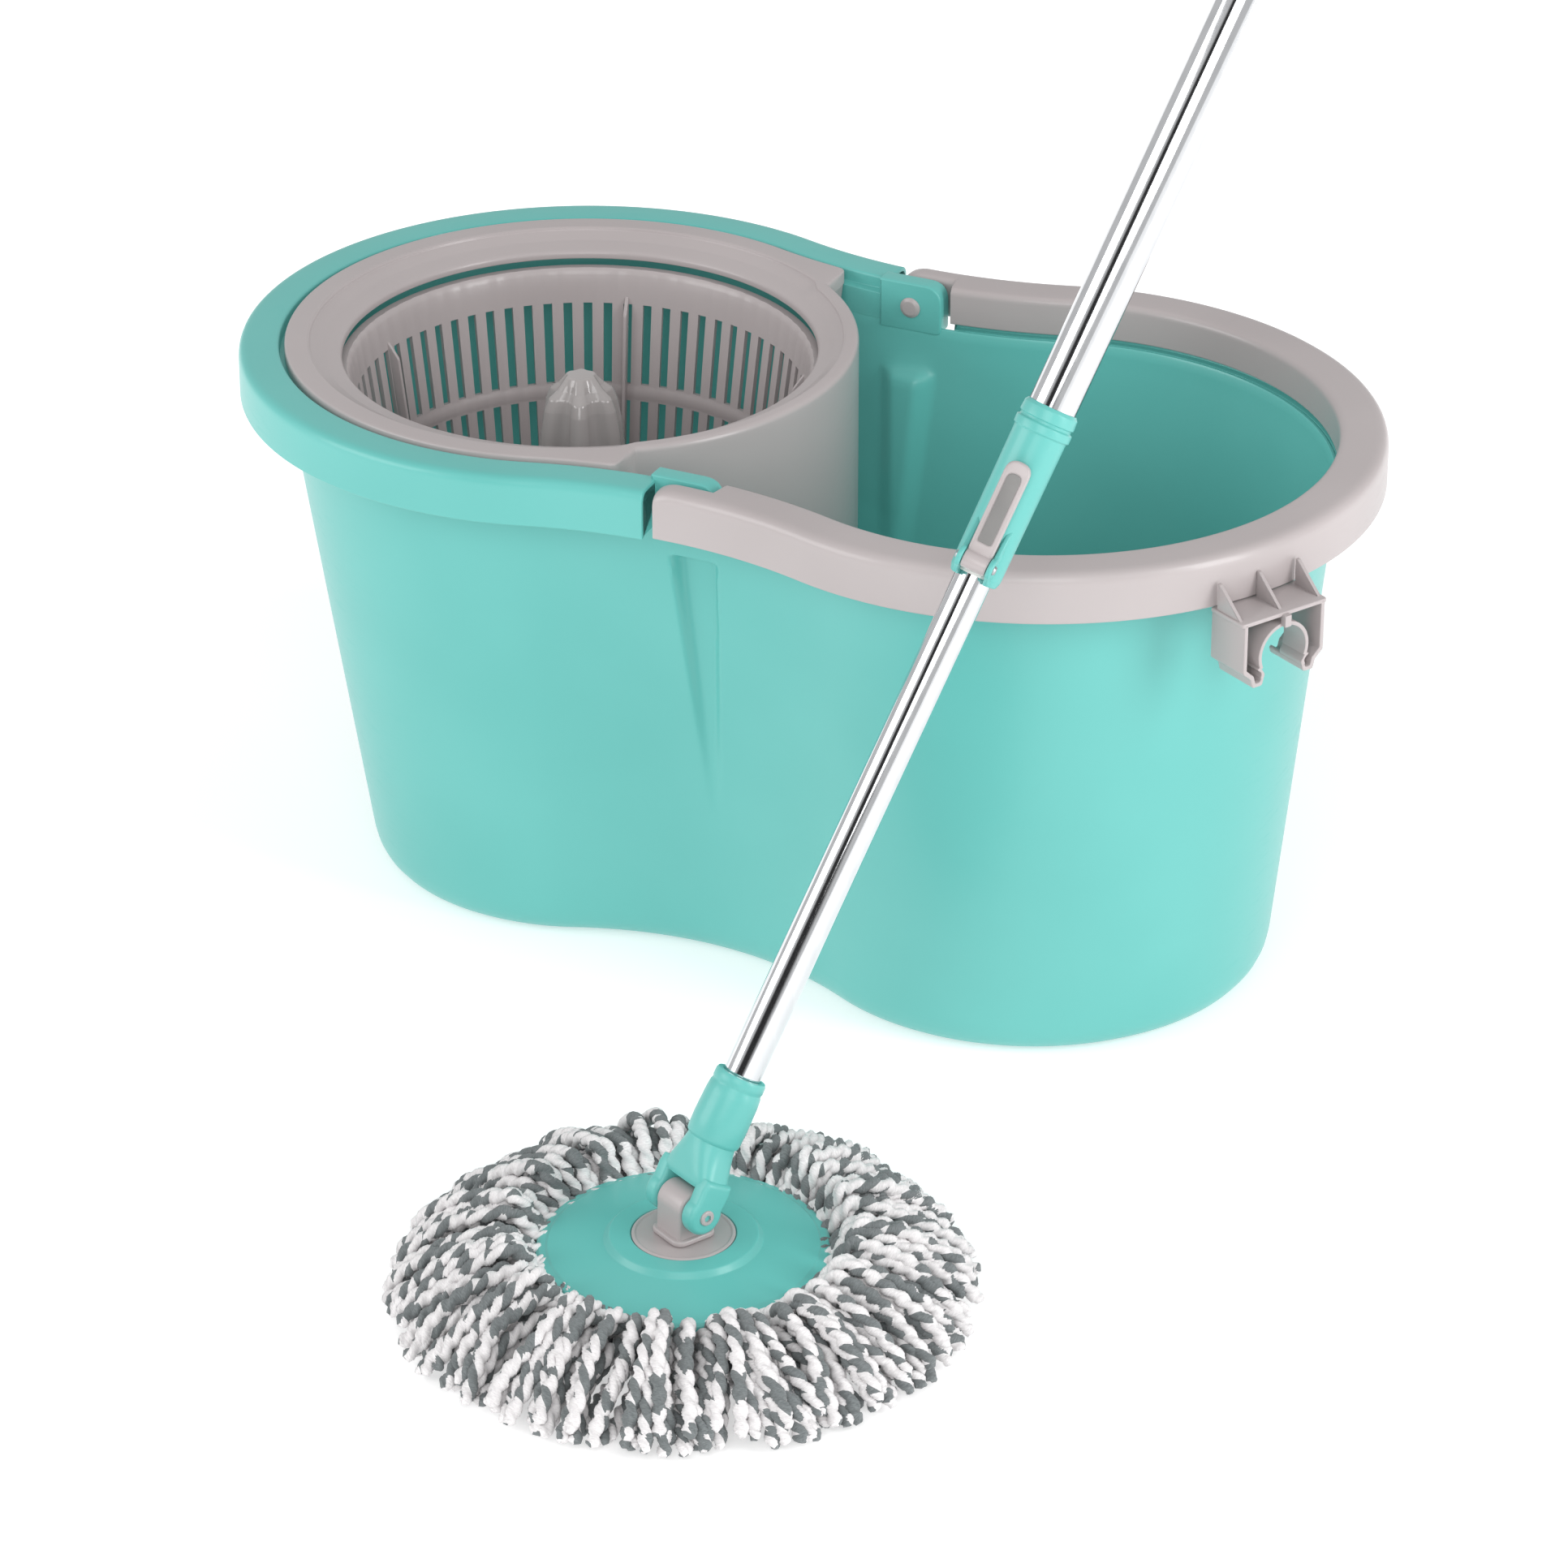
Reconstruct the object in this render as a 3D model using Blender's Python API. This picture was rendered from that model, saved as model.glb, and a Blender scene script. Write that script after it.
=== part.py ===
"""Spin mop set: a two-lobed bucket with a wringing basket, a swinging carry handle with a pole clip,
and a round mop on a telescopic pole.

Frame: metres, +Z up. The origin is on the underside of the bucket, midway between its two lobes.
+X points to the water lobe, -X to the basket lobe, and the mop stands in front, at -Y.
Every size below is in millimetres and is turned into metres when a mesh is made.
"""
import math

import bmesh
import bpy
from mathutils import Matrix, Vector

MM = 0.001

# ---- clearances ------------------------------------------------------------------------------
SEAT_GAP = 0.3            # between pieces that rest on, or are pressed into, each other
RUN_GAP = 0.4             # radial gap of a shaft in its bush, or of a sliding tube
SWING_GAP = 2.0           # beside a piece that swings past another

# ---- bucket ----------------------------------------------------------------------------------
LOBE_SPACING = 228.0      # between the axes of the two lobes
WALL_TOP_RADIUS = 134.5   # outside of the wall, just under the rim, both lobes
SPIN_BASE_RADIUS = 99.0   # outside of the wall carried down to the floor, basket lobe
WASH_BASE_RADIUS = 110.5  # the same, water lobe
WAIST_TOP_BLEND = 240.0   # radius of the hollow curve between the lobes, under the rim
WAIST_BASE_BLEND = 157.0  # the same, at the floor
WALL = 2.0                # bucket wall
FLOOR = 2.4               # bucket floor
WALL_HEIGHT = 236.0       # where the straight wall ends and the rim begins
RIM_HEIGHT = 260.0        # top of the basket lobe's rim
RIM_REACH = 21.5          # how far the rim and the handle stand out past the wall
RIM_SKIN = 2.3            # thickness of the rolled rims
RING_SEAT_DROP = 6.0      # the ring's ledge lies this far below the top of the rim
RING_SEAT_REACH = 3.0     # the ledge's outer edge, past the wall's outside
BAND_END_X = -14.2        # where the basket lobe's rim stops, at the waist
FLUTE_TOP = 219.0         # the tapering flute pressed into each waist
FLUTE_BOTTOM = 83.0
FLUTE_WIDTH = 20.0        # at its top
FLUTE_TIP = 3.0           # width at its foot
FLUTE_DEPTH = 6.5

# ---- carry handle, an upside-down channel -----------------------------------------------------
HANDLE_TOP = 262.0
HANDLE_SKIN = 2.4
HANDLE_DEPTH = 23.5       # height of the channel's outer flange
HANDLE_INNER_DEPTH = 18.0
HANDLE_INNER_REACH = -0.5 # inner face of the channel, from the wall's outside
PIVOT_HEIGHT = 250.0      # height of the handle's pins
HANDLE_END_X = -9.0       # the handle's ends lie this far past the pins
HANDLE_END_ARC = 0.7      # how nearly the ends' tops follow an arc about the pins, 1 being all the way
CHEEK_REACH = 9.0         # inner face of the narrow end that carries the pin
CHEEK_LENGTH = 18.0       # the narrow end runs this far to the water side of the pin
LUG_LENGTH = 15.5         # the bucket's lug, to the water side of the pin
LUG_DROP = 12.0           # half height of the lug
PIN_RADIUS = 3.5
PIN_HEAD_RADIUS = 5.0
PIN_HEAD = 1.6

# ---- pole clip on the handle ------------------------------------------------------------------
CLIP_ANGLE = -29.0        # degrees round the water lobe
CLIP_WIDTH = 44.0
CLIP_REACH = 19.0         # how far it stands out from the handle
CLIP_PLATE = 2.2
CLIP_RADIUS = 12.4        # inside of the spring jaws
CLIP_DROP = 32.0          # height of the two side plates
CLIP_RIB = 13.0           # height of the three stiffening ribs

# ---- wringer: ring with splash guard, basket, drive boss, spindle ------------------------------
RING_RADIUS = 135.0
RING_OPENING = 109.0
RING_TOP = 261.0
GUARD_RADIUS = 127.7      # the splash guard's outside
GUARD_BOTTOM = 160.0
GUARD_WALL = 2.5
RING_CORNER_X = -35.0     # the ring's two square corners, at the waist
BASKET_LIP_RADIUS = 107.5
BASKET_LIP_HEIGHT = 247.5
BASKET_FLOOR_RADIUS = 93.0
BASKET_FLOOR_HEIGHT = 140.0
BASKET_WALL = 2.0
BASKET_FLOOR = 2.6
SLOT_COUNT = 68
SLOT_SHARE = 0.44         # width of a slot as a share of the pitch
UPPER_SLOTS = (192.0, 231.0)
LOWER_SLOTS = (146.0, 184.0)
FIN_COUNT = 5             # upright fins on the inside of the basket's wall
FIN_TURN = 33.0           # degrees round the basket to the first fin
FIN_DEPTH = 5.0
FIN_WIDTH = 1.8
FIN_HEIGHTS = (150.0, 234.0)
DRAIN_HOLES = 8
DRAIN_HOLE_RADIUS = 7.0
SPINDLE_RADIUS = 4.0
SPINDLE_TOP = 222.0
STAND_HEIGHT = 100.0      # the bucket's own column under the basket
STAND_TOP_RADIUS = 13.0
STAND_BASE_RADIUS = 24.0
STAND_WALL = 2.8
STAND_SOCKET = 30.0       # depth of the spindle's seat in the column
THRUST_WASHER = 2.4       # thickness
HUB_RADIUS = 11.5
BUSH_WALL = 2.6
BUSH_LENGTH = 14.0
BOSS_TOP = 240.5
BOSS_TOP_RADIUS = 9.5
BOSS_BASE_RADIUS = 31.0
BOSS_WALL = 2.4
BOSS_LOBES = 6

# ---- mop head --------------------------------------------------------------------------------
HEAD_X = 109.4
HEAD_Y = -348.1
FRINGE_RADIUS = 129.0
FRINGE_TOP = 37.5
FRINGE_BORE = 41.0
DISC_RADIUS = 62.0
DISC_TOP = 30.0           # top of the disc beside its raised middle
DISC_SKIN = 4.5
DISC_STEP_RADIUS = 32.5
DISC_STEP = 3.0
DISC_COLLAR_RADIUS = 36.0 # collar under the disc that the refill ring clips on to
DISC_COLLAR_DEPTH = 11.0
REFILL_RADIUS = 56.0
REFILL_HEIGHT = 8.0
PLATE_RADIUS = 22.0       # grey swivel plate in the disc's middle
PLATE_SKIN = 1.8
STEM_RADIUS = 6.0
TILT_HEIGHT = 47.9        # height of the tilting pin
KNUCKLE_WIDTH = 17.0
KNUCKLE_RADIUS = 8.2
TILT_PIN_RADIUS = 3.6
SWIVEL_SCREW_RADIUS = 2.3

# ---- pole: distances are measured up the pole from the tilting pin ----------------------------
POLE_HEADING = 62.2       # degrees from +X, the way the pole leans
POLE_LEAN = 31.3          # degrees from upright
EAR_RADIUS = 8.5
EAR_WIDTH = 8.0
YOKE_RADIUS = 12.0
YOKE_NECK = 22.0          # where the round socket begins
YOKE_TOP = 59.0
YOKE_LIP_RADIUS = 10.0
LOWER_TUBE_RADIUS = 8.1
UPPER_TUBE_RADIUS = 10.3
TUBE_WALL = 0.8
LOWER_TUBE_START = 32.0
LOWER_TUBE_END = 480.0
UPPER_TUBE_START = 346.0
UPPER_TUBE_END = 898.0
COLLAR_START = 287.0
COLLAR_END = 365.0
COLLAR_RADIUS = 11.5
LEVER_TURN = -142.0       # degrees round the pole from the side it leans to
LEVER_PIN_RISE = 8.0      # lever pin above the collar's lower end
LEVER_PIN_REACH = 14.4    # lever pin from the pole's axis
LEVER_LENGTH = 45.0
LEVER_WIDTH = 11.0
LEVER_SKIN = 3.8
LEVER_PIN_RADIUS = 1.5
BRAKE_WALL = 1.4
BRAKE_LENGTH = 20.0
BAR_SIDE = 5.0            # twisted square bar
BAR_START = 370.0
BAR_END = 871.0
BAR_LEAD = 120.0          # the bar makes one turn in this length
NUT_LENGTH = 17.0
NUT_RADIUS = 6.3
ANCHOR_LENGTH = 20.0
GRIP_RADIUS = 13.0
GRIP_START = 772.0
GRIP_END = 905.0
CAP_LENGTH = 32.0
CAP_HOLE_RADIUS = 4.5

LEVER_EAR = 2.2           # thickness of the collar's two ears

# ---- facets ----------------------------------------------------------------------------------
AROUND = 20               # on each lobe of the bucket
ROUND = 16                # on a turned piece
FINE_ROUND = 20           # on a pin or a bore that turns
WIDE_ROUND = 30           # on a wide turned piece

# ---- sizes that follow from the ones above ----------------------------------------------------
HALF_SPACING = LOBE_SPACING / 2
RIM_LEDGE = RIM_HEIGHT - RING_SEAT_DROP
LOW_RIM_TOP = HANDLE_TOP - HANDLE_SKIN - RUN_GAP
LOW_RIM_START = HANDLE_INNER_REACH + HANDLE_SKIN + 1.9
LOW_RIM_END = RIM_REACH - HANDLE_SKIN - 2.6
LOW_RIM_LEDGE = HANDLE_TOP - HANDLE_INNER_DEPTH - 2.5
LUG_REACH = CHEEK_REACH - SWING_GAP
HUB_LOW = STAND_HEIGHT + 2 * SEAT_GAP + THRUST_WASHER + 0.2


# ---- colours and finishes ---------------------------------------------------------------------

def linear(channel):
    """A display colour value from 0 to 255 as the linear value that a shader takes."""
    share = channel / 255
    return share / 12.92 if share <= 0.04045 else ((share + 0.055) / 1.055) ** 2.4


def finish(name, red, green, blue, roughness, metallic=0.0):
    mat = bpy.data.materials.new(name)
    mat.use_nodes = True
    shader = mat.node_tree.nodes["Principled BSDF"]
    shader.inputs["Base Color"].default_value = (linear(red), linear(green), linear(blue), 1)
    shader.inputs["Roughness"].default_value = roughness
    shader.inputs["Metallic"].default_value = metallic
    mat.diffuse_color = (linear(red), linear(green), linear(blue), 1)
    return mat


# ---- mesh helpers -----------------------------------------------------------------------------

def add_object(name, bm, mat, parent=None, sharp=32):
    """Turn a bmesh in millimetres into a shaded object in metres."""
    bmesh.ops.remove_doubles(bm, verts=bm.verts, dist=0.001)
    bmesh.ops.recalc_face_normals(bm, faces=bm.faces)
    bmesh.ops.scale(bm, verts=bm.verts, vec=Vector((MM, MM, MM)))
    mesh = bpy.data.meshes.new(name)
    bm.to_mesh(mesh)
    bm.free()
    mesh.materials.append(mat)
    mesh.shade_smooth()
    mesh.set_sharp_from_angle(angle=math.radians(sharp))
    obj = bpy.data.objects.new(name, mesh)
    bpy.context.scene.collection.objects.link(obj)
    obj.parent = parent
    return obj


def add_empty(name, location, turn=0.0, lean=0.0, parent=None):
    """A frame at a joint: turned about Z, then leaned about its own Y, both in degrees."""
    empty = bpy.data.objects.new(name, None)
    empty.empty_display_size = 0.03
    bpy.context.scene.collection.objects.link(empty)
    place = Matrix.Translation(Vector(location) * MM)
    rotation = Matrix.Rotation(math.radians(turn), 4, "Z") @ Matrix.Rotation(math.radians(lean), 4, "Y")
    empty.parent = parent
    empty.matrix_local = place @ rotation
    return empty


def combine(target, tool, operation):
    """Apply one exact Boolean to the target and discard the tool."""
    step = target.modifiers.new("combine", "BOOLEAN")
    step.operation = operation
    step.solver = "EXACT"
    step.object = tool
    bpy.context.view_layer.update()
    graph = bpy.context.evaluated_depsgraph_get()
    mesh = bpy.data.meshes.new_from_object(target.evaluated_get(graph))
    target.modifiers.clear()
    target.data = mesh
    bpy.data.objects.remove(tool)


def skin_loops(bm, loops, closed_path, cap_ends):
    """Join neighbouring loops of equal length with quads, and cap the first and the last."""
    rows = [[bm.verts.new(point) for point in loop] for loop in loops]
    count = len(rows[0])
    pairs = list(zip(rows, rows[1:]))
    if closed_path:
        pairs.append((rows[-1], rows[0]))
    for first, second in pairs:
        for i in range(count):
            j = (i + 1) % count
            bm.faces.new((first[i], first[j], second[j], second[i]))
    if cap_ends:
        bm.faces.new(rows[0])
        bm.faces.new(rows[-1])
    return bm


def turn_profile(profile, segments=ROUND, centre=(0, 0), radius_at=None):
    """Revolve a closed outline of (radius, height) points; points at radius 0 become poles."""
    bm = bmesh.new()
    rings = []
    for index, (radius, height) in enumerate(profile):
        if radius < 1e-6:
            rings.append([bm.verts.new((centre[0], centre[1], height))])
            continue
        ring = []
        for i in range(segments):
            angle = 2 * math.pi * i / segments
            reach = radius if radius_at is None else radius_at(index, radius, angle)
            ring.append(bm.verts.new((centre[0] + reach * math.cos(angle),
                                      centre[1] + reach * math.sin(angle), height)))
        rings.append(ring)
    for first, second in zip(rings, rings[1:] + rings[:1]):
        if len(first) == 1 and len(second) == 1:
            continue
        for i in range(segments):
            j = (i + 1) % segments
            corners = [first[i % len(first)], first[j % len(first)],
                       second[j % len(second)], second[i % len(second)]]
            bm.faces.new(list(dict.fromkeys(corners)))
    return bm


def tube_profile(inner, outer, low, high):
    return [(inner, low), (outer, low), (outer, high), (inner, high)]


def extrude_outline(points, low, high, axis="Z"):
    """A straight prism: the outline lies across the axis, from low to high along it."""
    swap = {"X": lambda a, b, h: (h, a, b), "Y": lambda a, b, h: (a, h, b), "Z": lambda a, b, h: (a, b, h)}
    place = swap[axis]
    bm = bmesh.new()
    loops = [[place(a, b, height) for a, b in points] for height in (low, high)]
    return skin_loops(bm, loops, closed_path=False, cap_ends=True)


def box(low, high):
    return extrude_outline([(low[0], low[1]), (high[0], low[1]), (high[0], high[1]), (low[0], high[1])],
                           low[2], high[2])


def arc(cx, cy, radius, start, end, steps):
    """Points on an arc; the angles are in degrees."""
    angles = [math.radians(start + (end - start) * i / steps) for i in range(steps + 1)]
    return [(cx + radius * math.cos(a), cy + radius * math.sin(a)) for a in angles]


def merge(*parts):
    """Put several bmeshes into one, as separate bodies of one Boolean tool."""
    whole = bmesh.new()
    for part in parts:
        mesh = bpy.data.meshes.new("part")
        part.to_mesh(mesh)
        part.free()
        whole.from_mesh(mesh)
        bpy.data.meshes.remove(mesh)
    return whole


def moved(bm, matrix):
    bmesh.ops.transform(bm, matrix=matrix, verts=bm.verts)
    return bm


# ---- the two-lobed outline --------------------------------------------------------------------
# A station names one place on the outline: on a lobe or in a waist, and how far along it.

def waist_share(x):
    """How far along the front waist's curve a given x lies, from the basket lobe's side."""
    span = math.asin(HALF_SPACING / (WALL_TOP_RADIUS + WAIST_TOP_BLEND))
    return 0.5 + math.asin(x / WAIST_TOP_BLEND) / (2 * span)


def outline_sizes(height):
    """The wall's outside at a height: radius of the two lobes and of the waist's hollow."""
    share = min(height / WALL_HEIGHT, 1.0)
    return (SPIN_BASE_RADIUS + share * (WALL_TOP_RADIUS - SPIN_BASE_RADIUS),
            WASH_BASE_RADIUS + share * (WALL_TOP_RADIUS - WASH_BASE_RADIUS),
            WAIST_BASE_BLEND + share * (WAIST_TOP_BLEND - WAIST_BASE_BLEND))


def waist_centre(spin, wash, blend):
    """Centre of the hollow curve at the back waist; the front one is its mirror image."""
    x = ((spin + blend) ** 2 - (wash + blend) ** 2) / (4 * HALF_SPACING)
    return x, math.sqrt((spin + blend) ** 2 - (x + HALF_SPACING) ** 2)


def outline_point(station, height, reach):
    """A point on the outline at a height, the given distance outside the wall."""
    place, share = station
    spin, wash, blend = outline_sizes(height)
    x, y = waist_centre(spin, wash, blend)
    spin_side = math.atan2(y, x + HALF_SPACING)
    wash_side = math.atan2(y, x - HALF_SPACING)
    if place == "spin":
        angle = spin_side + share * 2 * (math.pi - spin_side)
        return (-HALF_SPACING + (spin + reach) * math.cos(angle), (spin + reach) * math.sin(angle), height)
    if place == "wash":
        angle = -wash_side + share * 2 * wash_side
        return (HALF_SPACING + (wash + reach) * math.cos(angle), (wash + reach) * math.sin(angle), height)
    along = share if place == "front" else 1 - share
    start, end = spin_side - math.pi, wash_side - math.pi
    angle = start + along * (end - start)
    side = -1 if place == "front" else 1
    return (x + (blend - reach) * math.cos(angle), side * (y + (blend - reach) * math.sin(angle)), height)


def waist_stations(marks):
    """The x marks, with a few evenly spread places on either side of them, basket side first."""
    first, last = waist_share(marks[0]), waist_share(marks[-1])
    lead = [first * i / 3 for i in range(1, 3)]
    tail = [last + (1 - last) * i / 3 for i in range(1, 3)]
    return lead + [waist_share(x) for x in marks] + tail


# ---- bucket -----------------------------------------------------------------------------------

def band_profile(hollow):
    """The basket lobe's wide rim, from its ledge over the top and back to the wall's outside."""
    top, bottom = RIM_HEIGHT, RIM_HEIGHT - HANDLE_DEPTH + 0.5
    out, skin, ledge = RIM_REACH, RIM_SKIN, RIM_LEDGE
    outer = [(-WALL, ledge), (RING_SEAT_REACH, ledge), (RING_SEAT_REACH, top - 1), (RING_SEAT_REACH + 1, top),
             (out - 3, top), (out - 0.6, top - 1.6), (out, top - 4), (out, bottom), (out - skin, bottom)]
    if hollow:
        inner = [(out - skin, top - 4), (out - skin - 1.4, top - skin), (RING_SEAT_REACH + skin, top - skin),
                 (RING_SEAT_REACH + skin, ledge - skin), (0, ledge - skin)]
    else:
        inner = [(out - skin - 1, bottom), (out - skin - 2.4, bottom), (RING_SEAT_REACH + skin, bottom),
                 (RING_SEAT_REACH, bottom), (0, bottom)]
    return outer + inner


def low_rim_profile():
    """The water lobe's rim, which hides inside the handle."""
    top, start, end, ledge, skin = LOW_RIM_TOP, LOW_RIM_START, LOW_RIM_END, LOW_RIM_LEDGE, RIM_SKIN
    bottom = top - 10
    return [(-WALL, ledge), (start, ledge), (start, top - 0.8), (start + 0.8, top),
            (end - 2, top), (end - 0.5, top - 1), (end, top - 3), (end, bottom), (end - skin, bottom),
            (end - skin, top - 3.6), (end - skin - 1, top - skin), (start + skin, top - skin),
            (start + skin, ledge - skin), (0, ledge - skin)]


def bare_profile():
    """The plain top edge of the wall behind the lugs, with as many points as the rims have."""
    ledge = LOW_RIM_LEDGE
    across = [(-WALL + WALL * i / 8, ledge) for i in range(9)]
    down = [(0, ledge - 0.5 * i) for i in range(1, 6)]
    return across + down


def shelf_profile():
    """A flat shelf as wide as the low rim, which closes the low rim's end clear of the handle."""
    start, end, ledge, skin = LOW_RIM_START, LOW_RIM_END, LOW_RIM_LEDGE, RIM_SKIN
    out = [(-WALL, ledge)] + [(start + (end - start) * i / 5, ledge) for i in range(6)]
    back = [(end, ledge - skin / 2)] + [(end - (end - start) * i / 4, ledge - skin) for i in range(5)]
    return out + back + [(0, ledge - skin)]


def bucket_stations():
    """Stations round the bucket with the rim that each one carries, as (station, rim)."""
    band, solid, low = band_profile(True), band_profile(False), low_rim_profile()
    bare, shelf = bare_profile(), shelf_profile()
    rib, end = RIM_SKIN, CHEEK_LENGTH + SWING_GAP
    marks = [(BAND_END_X - rib - 1, band), (BAND_END_X - rib, solid), (BAND_END_X, solid),
             (BAND_END_X + 0.8, bare), (LUG_LENGTH + 1.2, bare), (LUG_LENGTH + 2, shelf), (end, shelf),
             (end + 0.8, low)]
    shares = waist_stations([x for x, _ in marks])
    rims = [band] * 2 + [rim for _, rim in marks] + [low] * 2
    front = [(("front", share), rim) for share, rim in zip(shares, rims)]
    back = [(("back", 1 - share), rim) for share, rim in zip(reversed(shares), reversed(rims))]
    spin = [(("spin", i / AROUND), band) for i in range(AROUND + 1)]
    wash = [(("wash", i / AROUND), low) for i in range(AROUND + 1)]
    return spin + front + wash + back


def lug_tool():
    """Rounded lugs at the waist that carry the handle's pins, front and back."""
    drop, x0, x1 = LUG_DROP, BAND_END_X - RIM_SKIN, LUG_LENGTH
    low, high = PIVOT_HEIGHT - drop, PIVOT_HEIGHT + drop
    corner = 8.0
    outline = [(x0, low), (x1 - 3, low), (x1, low + 3)] + arc(x1 - corner, high - corner, corner, 0, 90, 5)
    outline.append((x0, high))
    inside = waist_half_width() - WALL
    outside = waist_half_width() + LUG_REACH
    return merge(extrude_outline(outline, inside, outside, "Y"),
                 extrude_outline(outline, -outside, -inside, "Y"))


def waist_half_width():
    """Half the bucket's width across the middle of the waist, under the rim."""
    x, y = waist_centre(*outline_sizes(WALL_HEIGHT))
    return y - WAIST_TOP_BLEND


def flute(side, inset, grow):
    """A tapering wedge at the waist, its inner face leaning away from the wall's slope."""
    low, high = FLUTE_BOTTOM - grow, FLUTE_TOP + grow
    corners = []
    for height, width, depth in ((low, FLUTE_TIP, 0.0), (high, FLUTE_WIDTH, FLUTE_DEPTH)):
        x, y = waist_centre(*outline_sizes(height))
        wall = y - outline_sizes(height)[2]
        inner = wall - depth - inset
        half = width / 2 + grow
        outer = wall + (12.0 if grow == 0 else -WALL / 2)
        corners.append([(-half, side * inner, height), (half, side * inner, height),
                        (half, side * outer, height), (-half, side * outer, height)])
    return skin_loops(bmesh.new(), corners, closed_path=False, cap_ends=True)


def column(radius_cut, height_cut, low):
    """The cone that carries the spindle, or with a cut, the hollow inside it."""
    return turn_profile([(0, low), (STAND_BASE_RADIUS - radius_cut, low),
                         (STAND_TOP_RADIUS - radius_cut, STAND_HEIGHT - height_cut),
                         (0, STAND_HEIGHT - height_cut)], centre=(-HALF_SPACING, 0))


def pin_hole_tool(radius):
    """A long bar through both lugs, along the handle's axis."""
    reach = waist_half_width() + RIM_REACH + 10
    bar = turn_profile([(0, -reach), (radius, -reach), (radius, reach), (0, reach)], segments=FINE_ROUND)
    turn = Matrix.Translation((0, 0, PIVOT_HEIGHT)) @ Matrix.Rotation(math.pi / 2, 4, "X")
    return moved(bar, turn)


def build_bucket(mat):
    inner = [(-16.0, FLOOR), (-7.0, FLOOR + 2), (-WALL, FLOOR + 10), (-WALL, WALL_HEIGHT)]
    outer = [(0.0, WALL_HEIGHT), (0.0, 13.0), (-1.2, 7.0), (-5.0, 2.2), (-12.0, 0.0)]
    bm = bmesh.new()
    rows = []
    for station, rim in bucket_stations():
        profile = inner + rim + outer
        rows.append([bm.verts.new(outline_point(station, height, reach)) for reach, height in profile])
    for first, second in zip(rows, rows[1:] + rows[:1]):
        for i in range(len(first) - 1):
            bm.faces.new((first[i], first[i + 1], second[i + 1], second[i]))
    bm.faces.new([row[0] for row in rows])
    bm.faces.new([row[-1] for row in rows])
    bmesh.ops.triangulate(bm, faces=bm.faces)
    bucket = add_object("bucket", bm, mat)
    ridges = merge(flute(1, WALL, 2.0), flute(-1, WALL, 2.0))
    added = add_object("added", merge(lug_tool(), ridges, column(0, 0, FLOOR / 2)), mat)
    combine(bucket, added, "UNION")
    bore, low, high = SPINDLE_RADIUS + SEAT_GAP, STAND_HEIGHT - STAND_SOCKET, STAND_HEIGHT + 5
    seat = turn_profile([(0, low), (bore, low), (bore, high), (0, high)],
                        segments=FINE_ROUND, centre=(-HALF_SPACING, 0))
    hollow = column(STAND_WALL, STAND_SOCKET + STAND_WALL, -5)
    cuts = merge(flute(1, 0, 0), flute(-1, 0, 0), seat, hollow, pin_hole_tool(PIN_RADIUS + RUN_GAP))
    combine(bucket, add_object("cuts", cuts, mat), "DIFFERENCE")
    return bucket


# ---- handle -----------------------------------------------------------------------------------

def handle_profile(x):
    """The channel's section; near the pins it is narrow and its end is rounded off."""
    top = HANDLE_TOP
    near_end = x < CHEEK_LENGTH + 0.5
    inner = CHEEK_REACH if near_end else HANDLE_INNER_REACH
    if x < 0:
        arc_height = math.sqrt(max(LUG_DROP ** 2 - x * x, 0))
        top = PIVOT_HEIGHT + LUG_DROP + (arc_height - LUG_DROP) * HANDLE_END_ARC
    skin, out, web = HANDLE_SKIN, RIM_REACH, top - HANDLE_SKIN
    outer_low, inner_low = HANDLE_TOP - HANDLE_DEPTH, HANDLE_TOP - HANDLE_INNER_DEPTH
    return [(out, outer_low), (out, top - 5), (out - 1.3, top - 1.5), (out - 4.5, top),
            (inner + 3.5, top), (inner + 1, top - 1), (inner, top - 3.5), (inner, inner_low),
            (inner + skin, inner_low), (inner + skin, web - 2), (inner + skin + 1.5, web),
            (out - 4.5, web), (out - skin, web - 2.6), (out - skin, outer_low)]


def handle_stations():
    marks = [HANDLE_END_X, -7.0, -4.0, 0.0, CHEEK_LENGTH, CHEEK_LENGTH + 1]
    first, last = waist_share(marks[0]), waist_share(marks[-1])
    tail = [last + (1 - last) * i / 3 for i in range(1, 3)]
    shares = [waist_share(x) for x in marks] + tail
    xs = marks + [HALF_SPACING] * 2
    front = [(("front", share), x) for share, x in zip(shares, xs)]
    wash = [(("wash", i / AROUND), HALF_SPACING) for i in range(AROUND + 1)]
    back = [(("back", 1 - share), x) for share, x in zip(reversed(shares), reversed(xs))]
    return front + wash + back


def build_handle(mat, parent):
    loops = [[outline_point(station, height, reach) for reach, height in handle_profile(x)]
             for station, x in handle_stations()]
    bm = skin_loops(bmesh.new(), loops, closed_path=False, cap_ends=True)
    bmesh.ops.triangulate(bm, faces=bm.faces)
    handle = add_object("handle", bm, mat)
    hole = add_object("hole", handle_hole_tool(), mat)
    combine(handle, hole, "DIFFERENCE")
    settle(handle, parent)
    return handle


def handle_hole_tool():
    """Two short bars that bore the narrow ends' inner cheeks for the pins."""
    near, far = waist_half_width() + CHEEK_REACH - 3, waist_half_width() + CHEEK_REACH + HANDLE_SKIN + 3
    bars = []
    for side in (-1, 1):
        bar = turn_profile([(0, near), (PIN_RADIUS + SEAT_GAP, near), (PIN_RADIUS + SEAT_GAP, far), (0, far)],
                           segments=FINE_ROUND)
        turn = Matrix.Translation((0, 0, PIVOT_HEIGHT)) @ Matrix.Rotation(-side * math.pi / 2, 4, "X")
        bars.append(moved(bar, turn))
    return merge(*bars)


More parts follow.
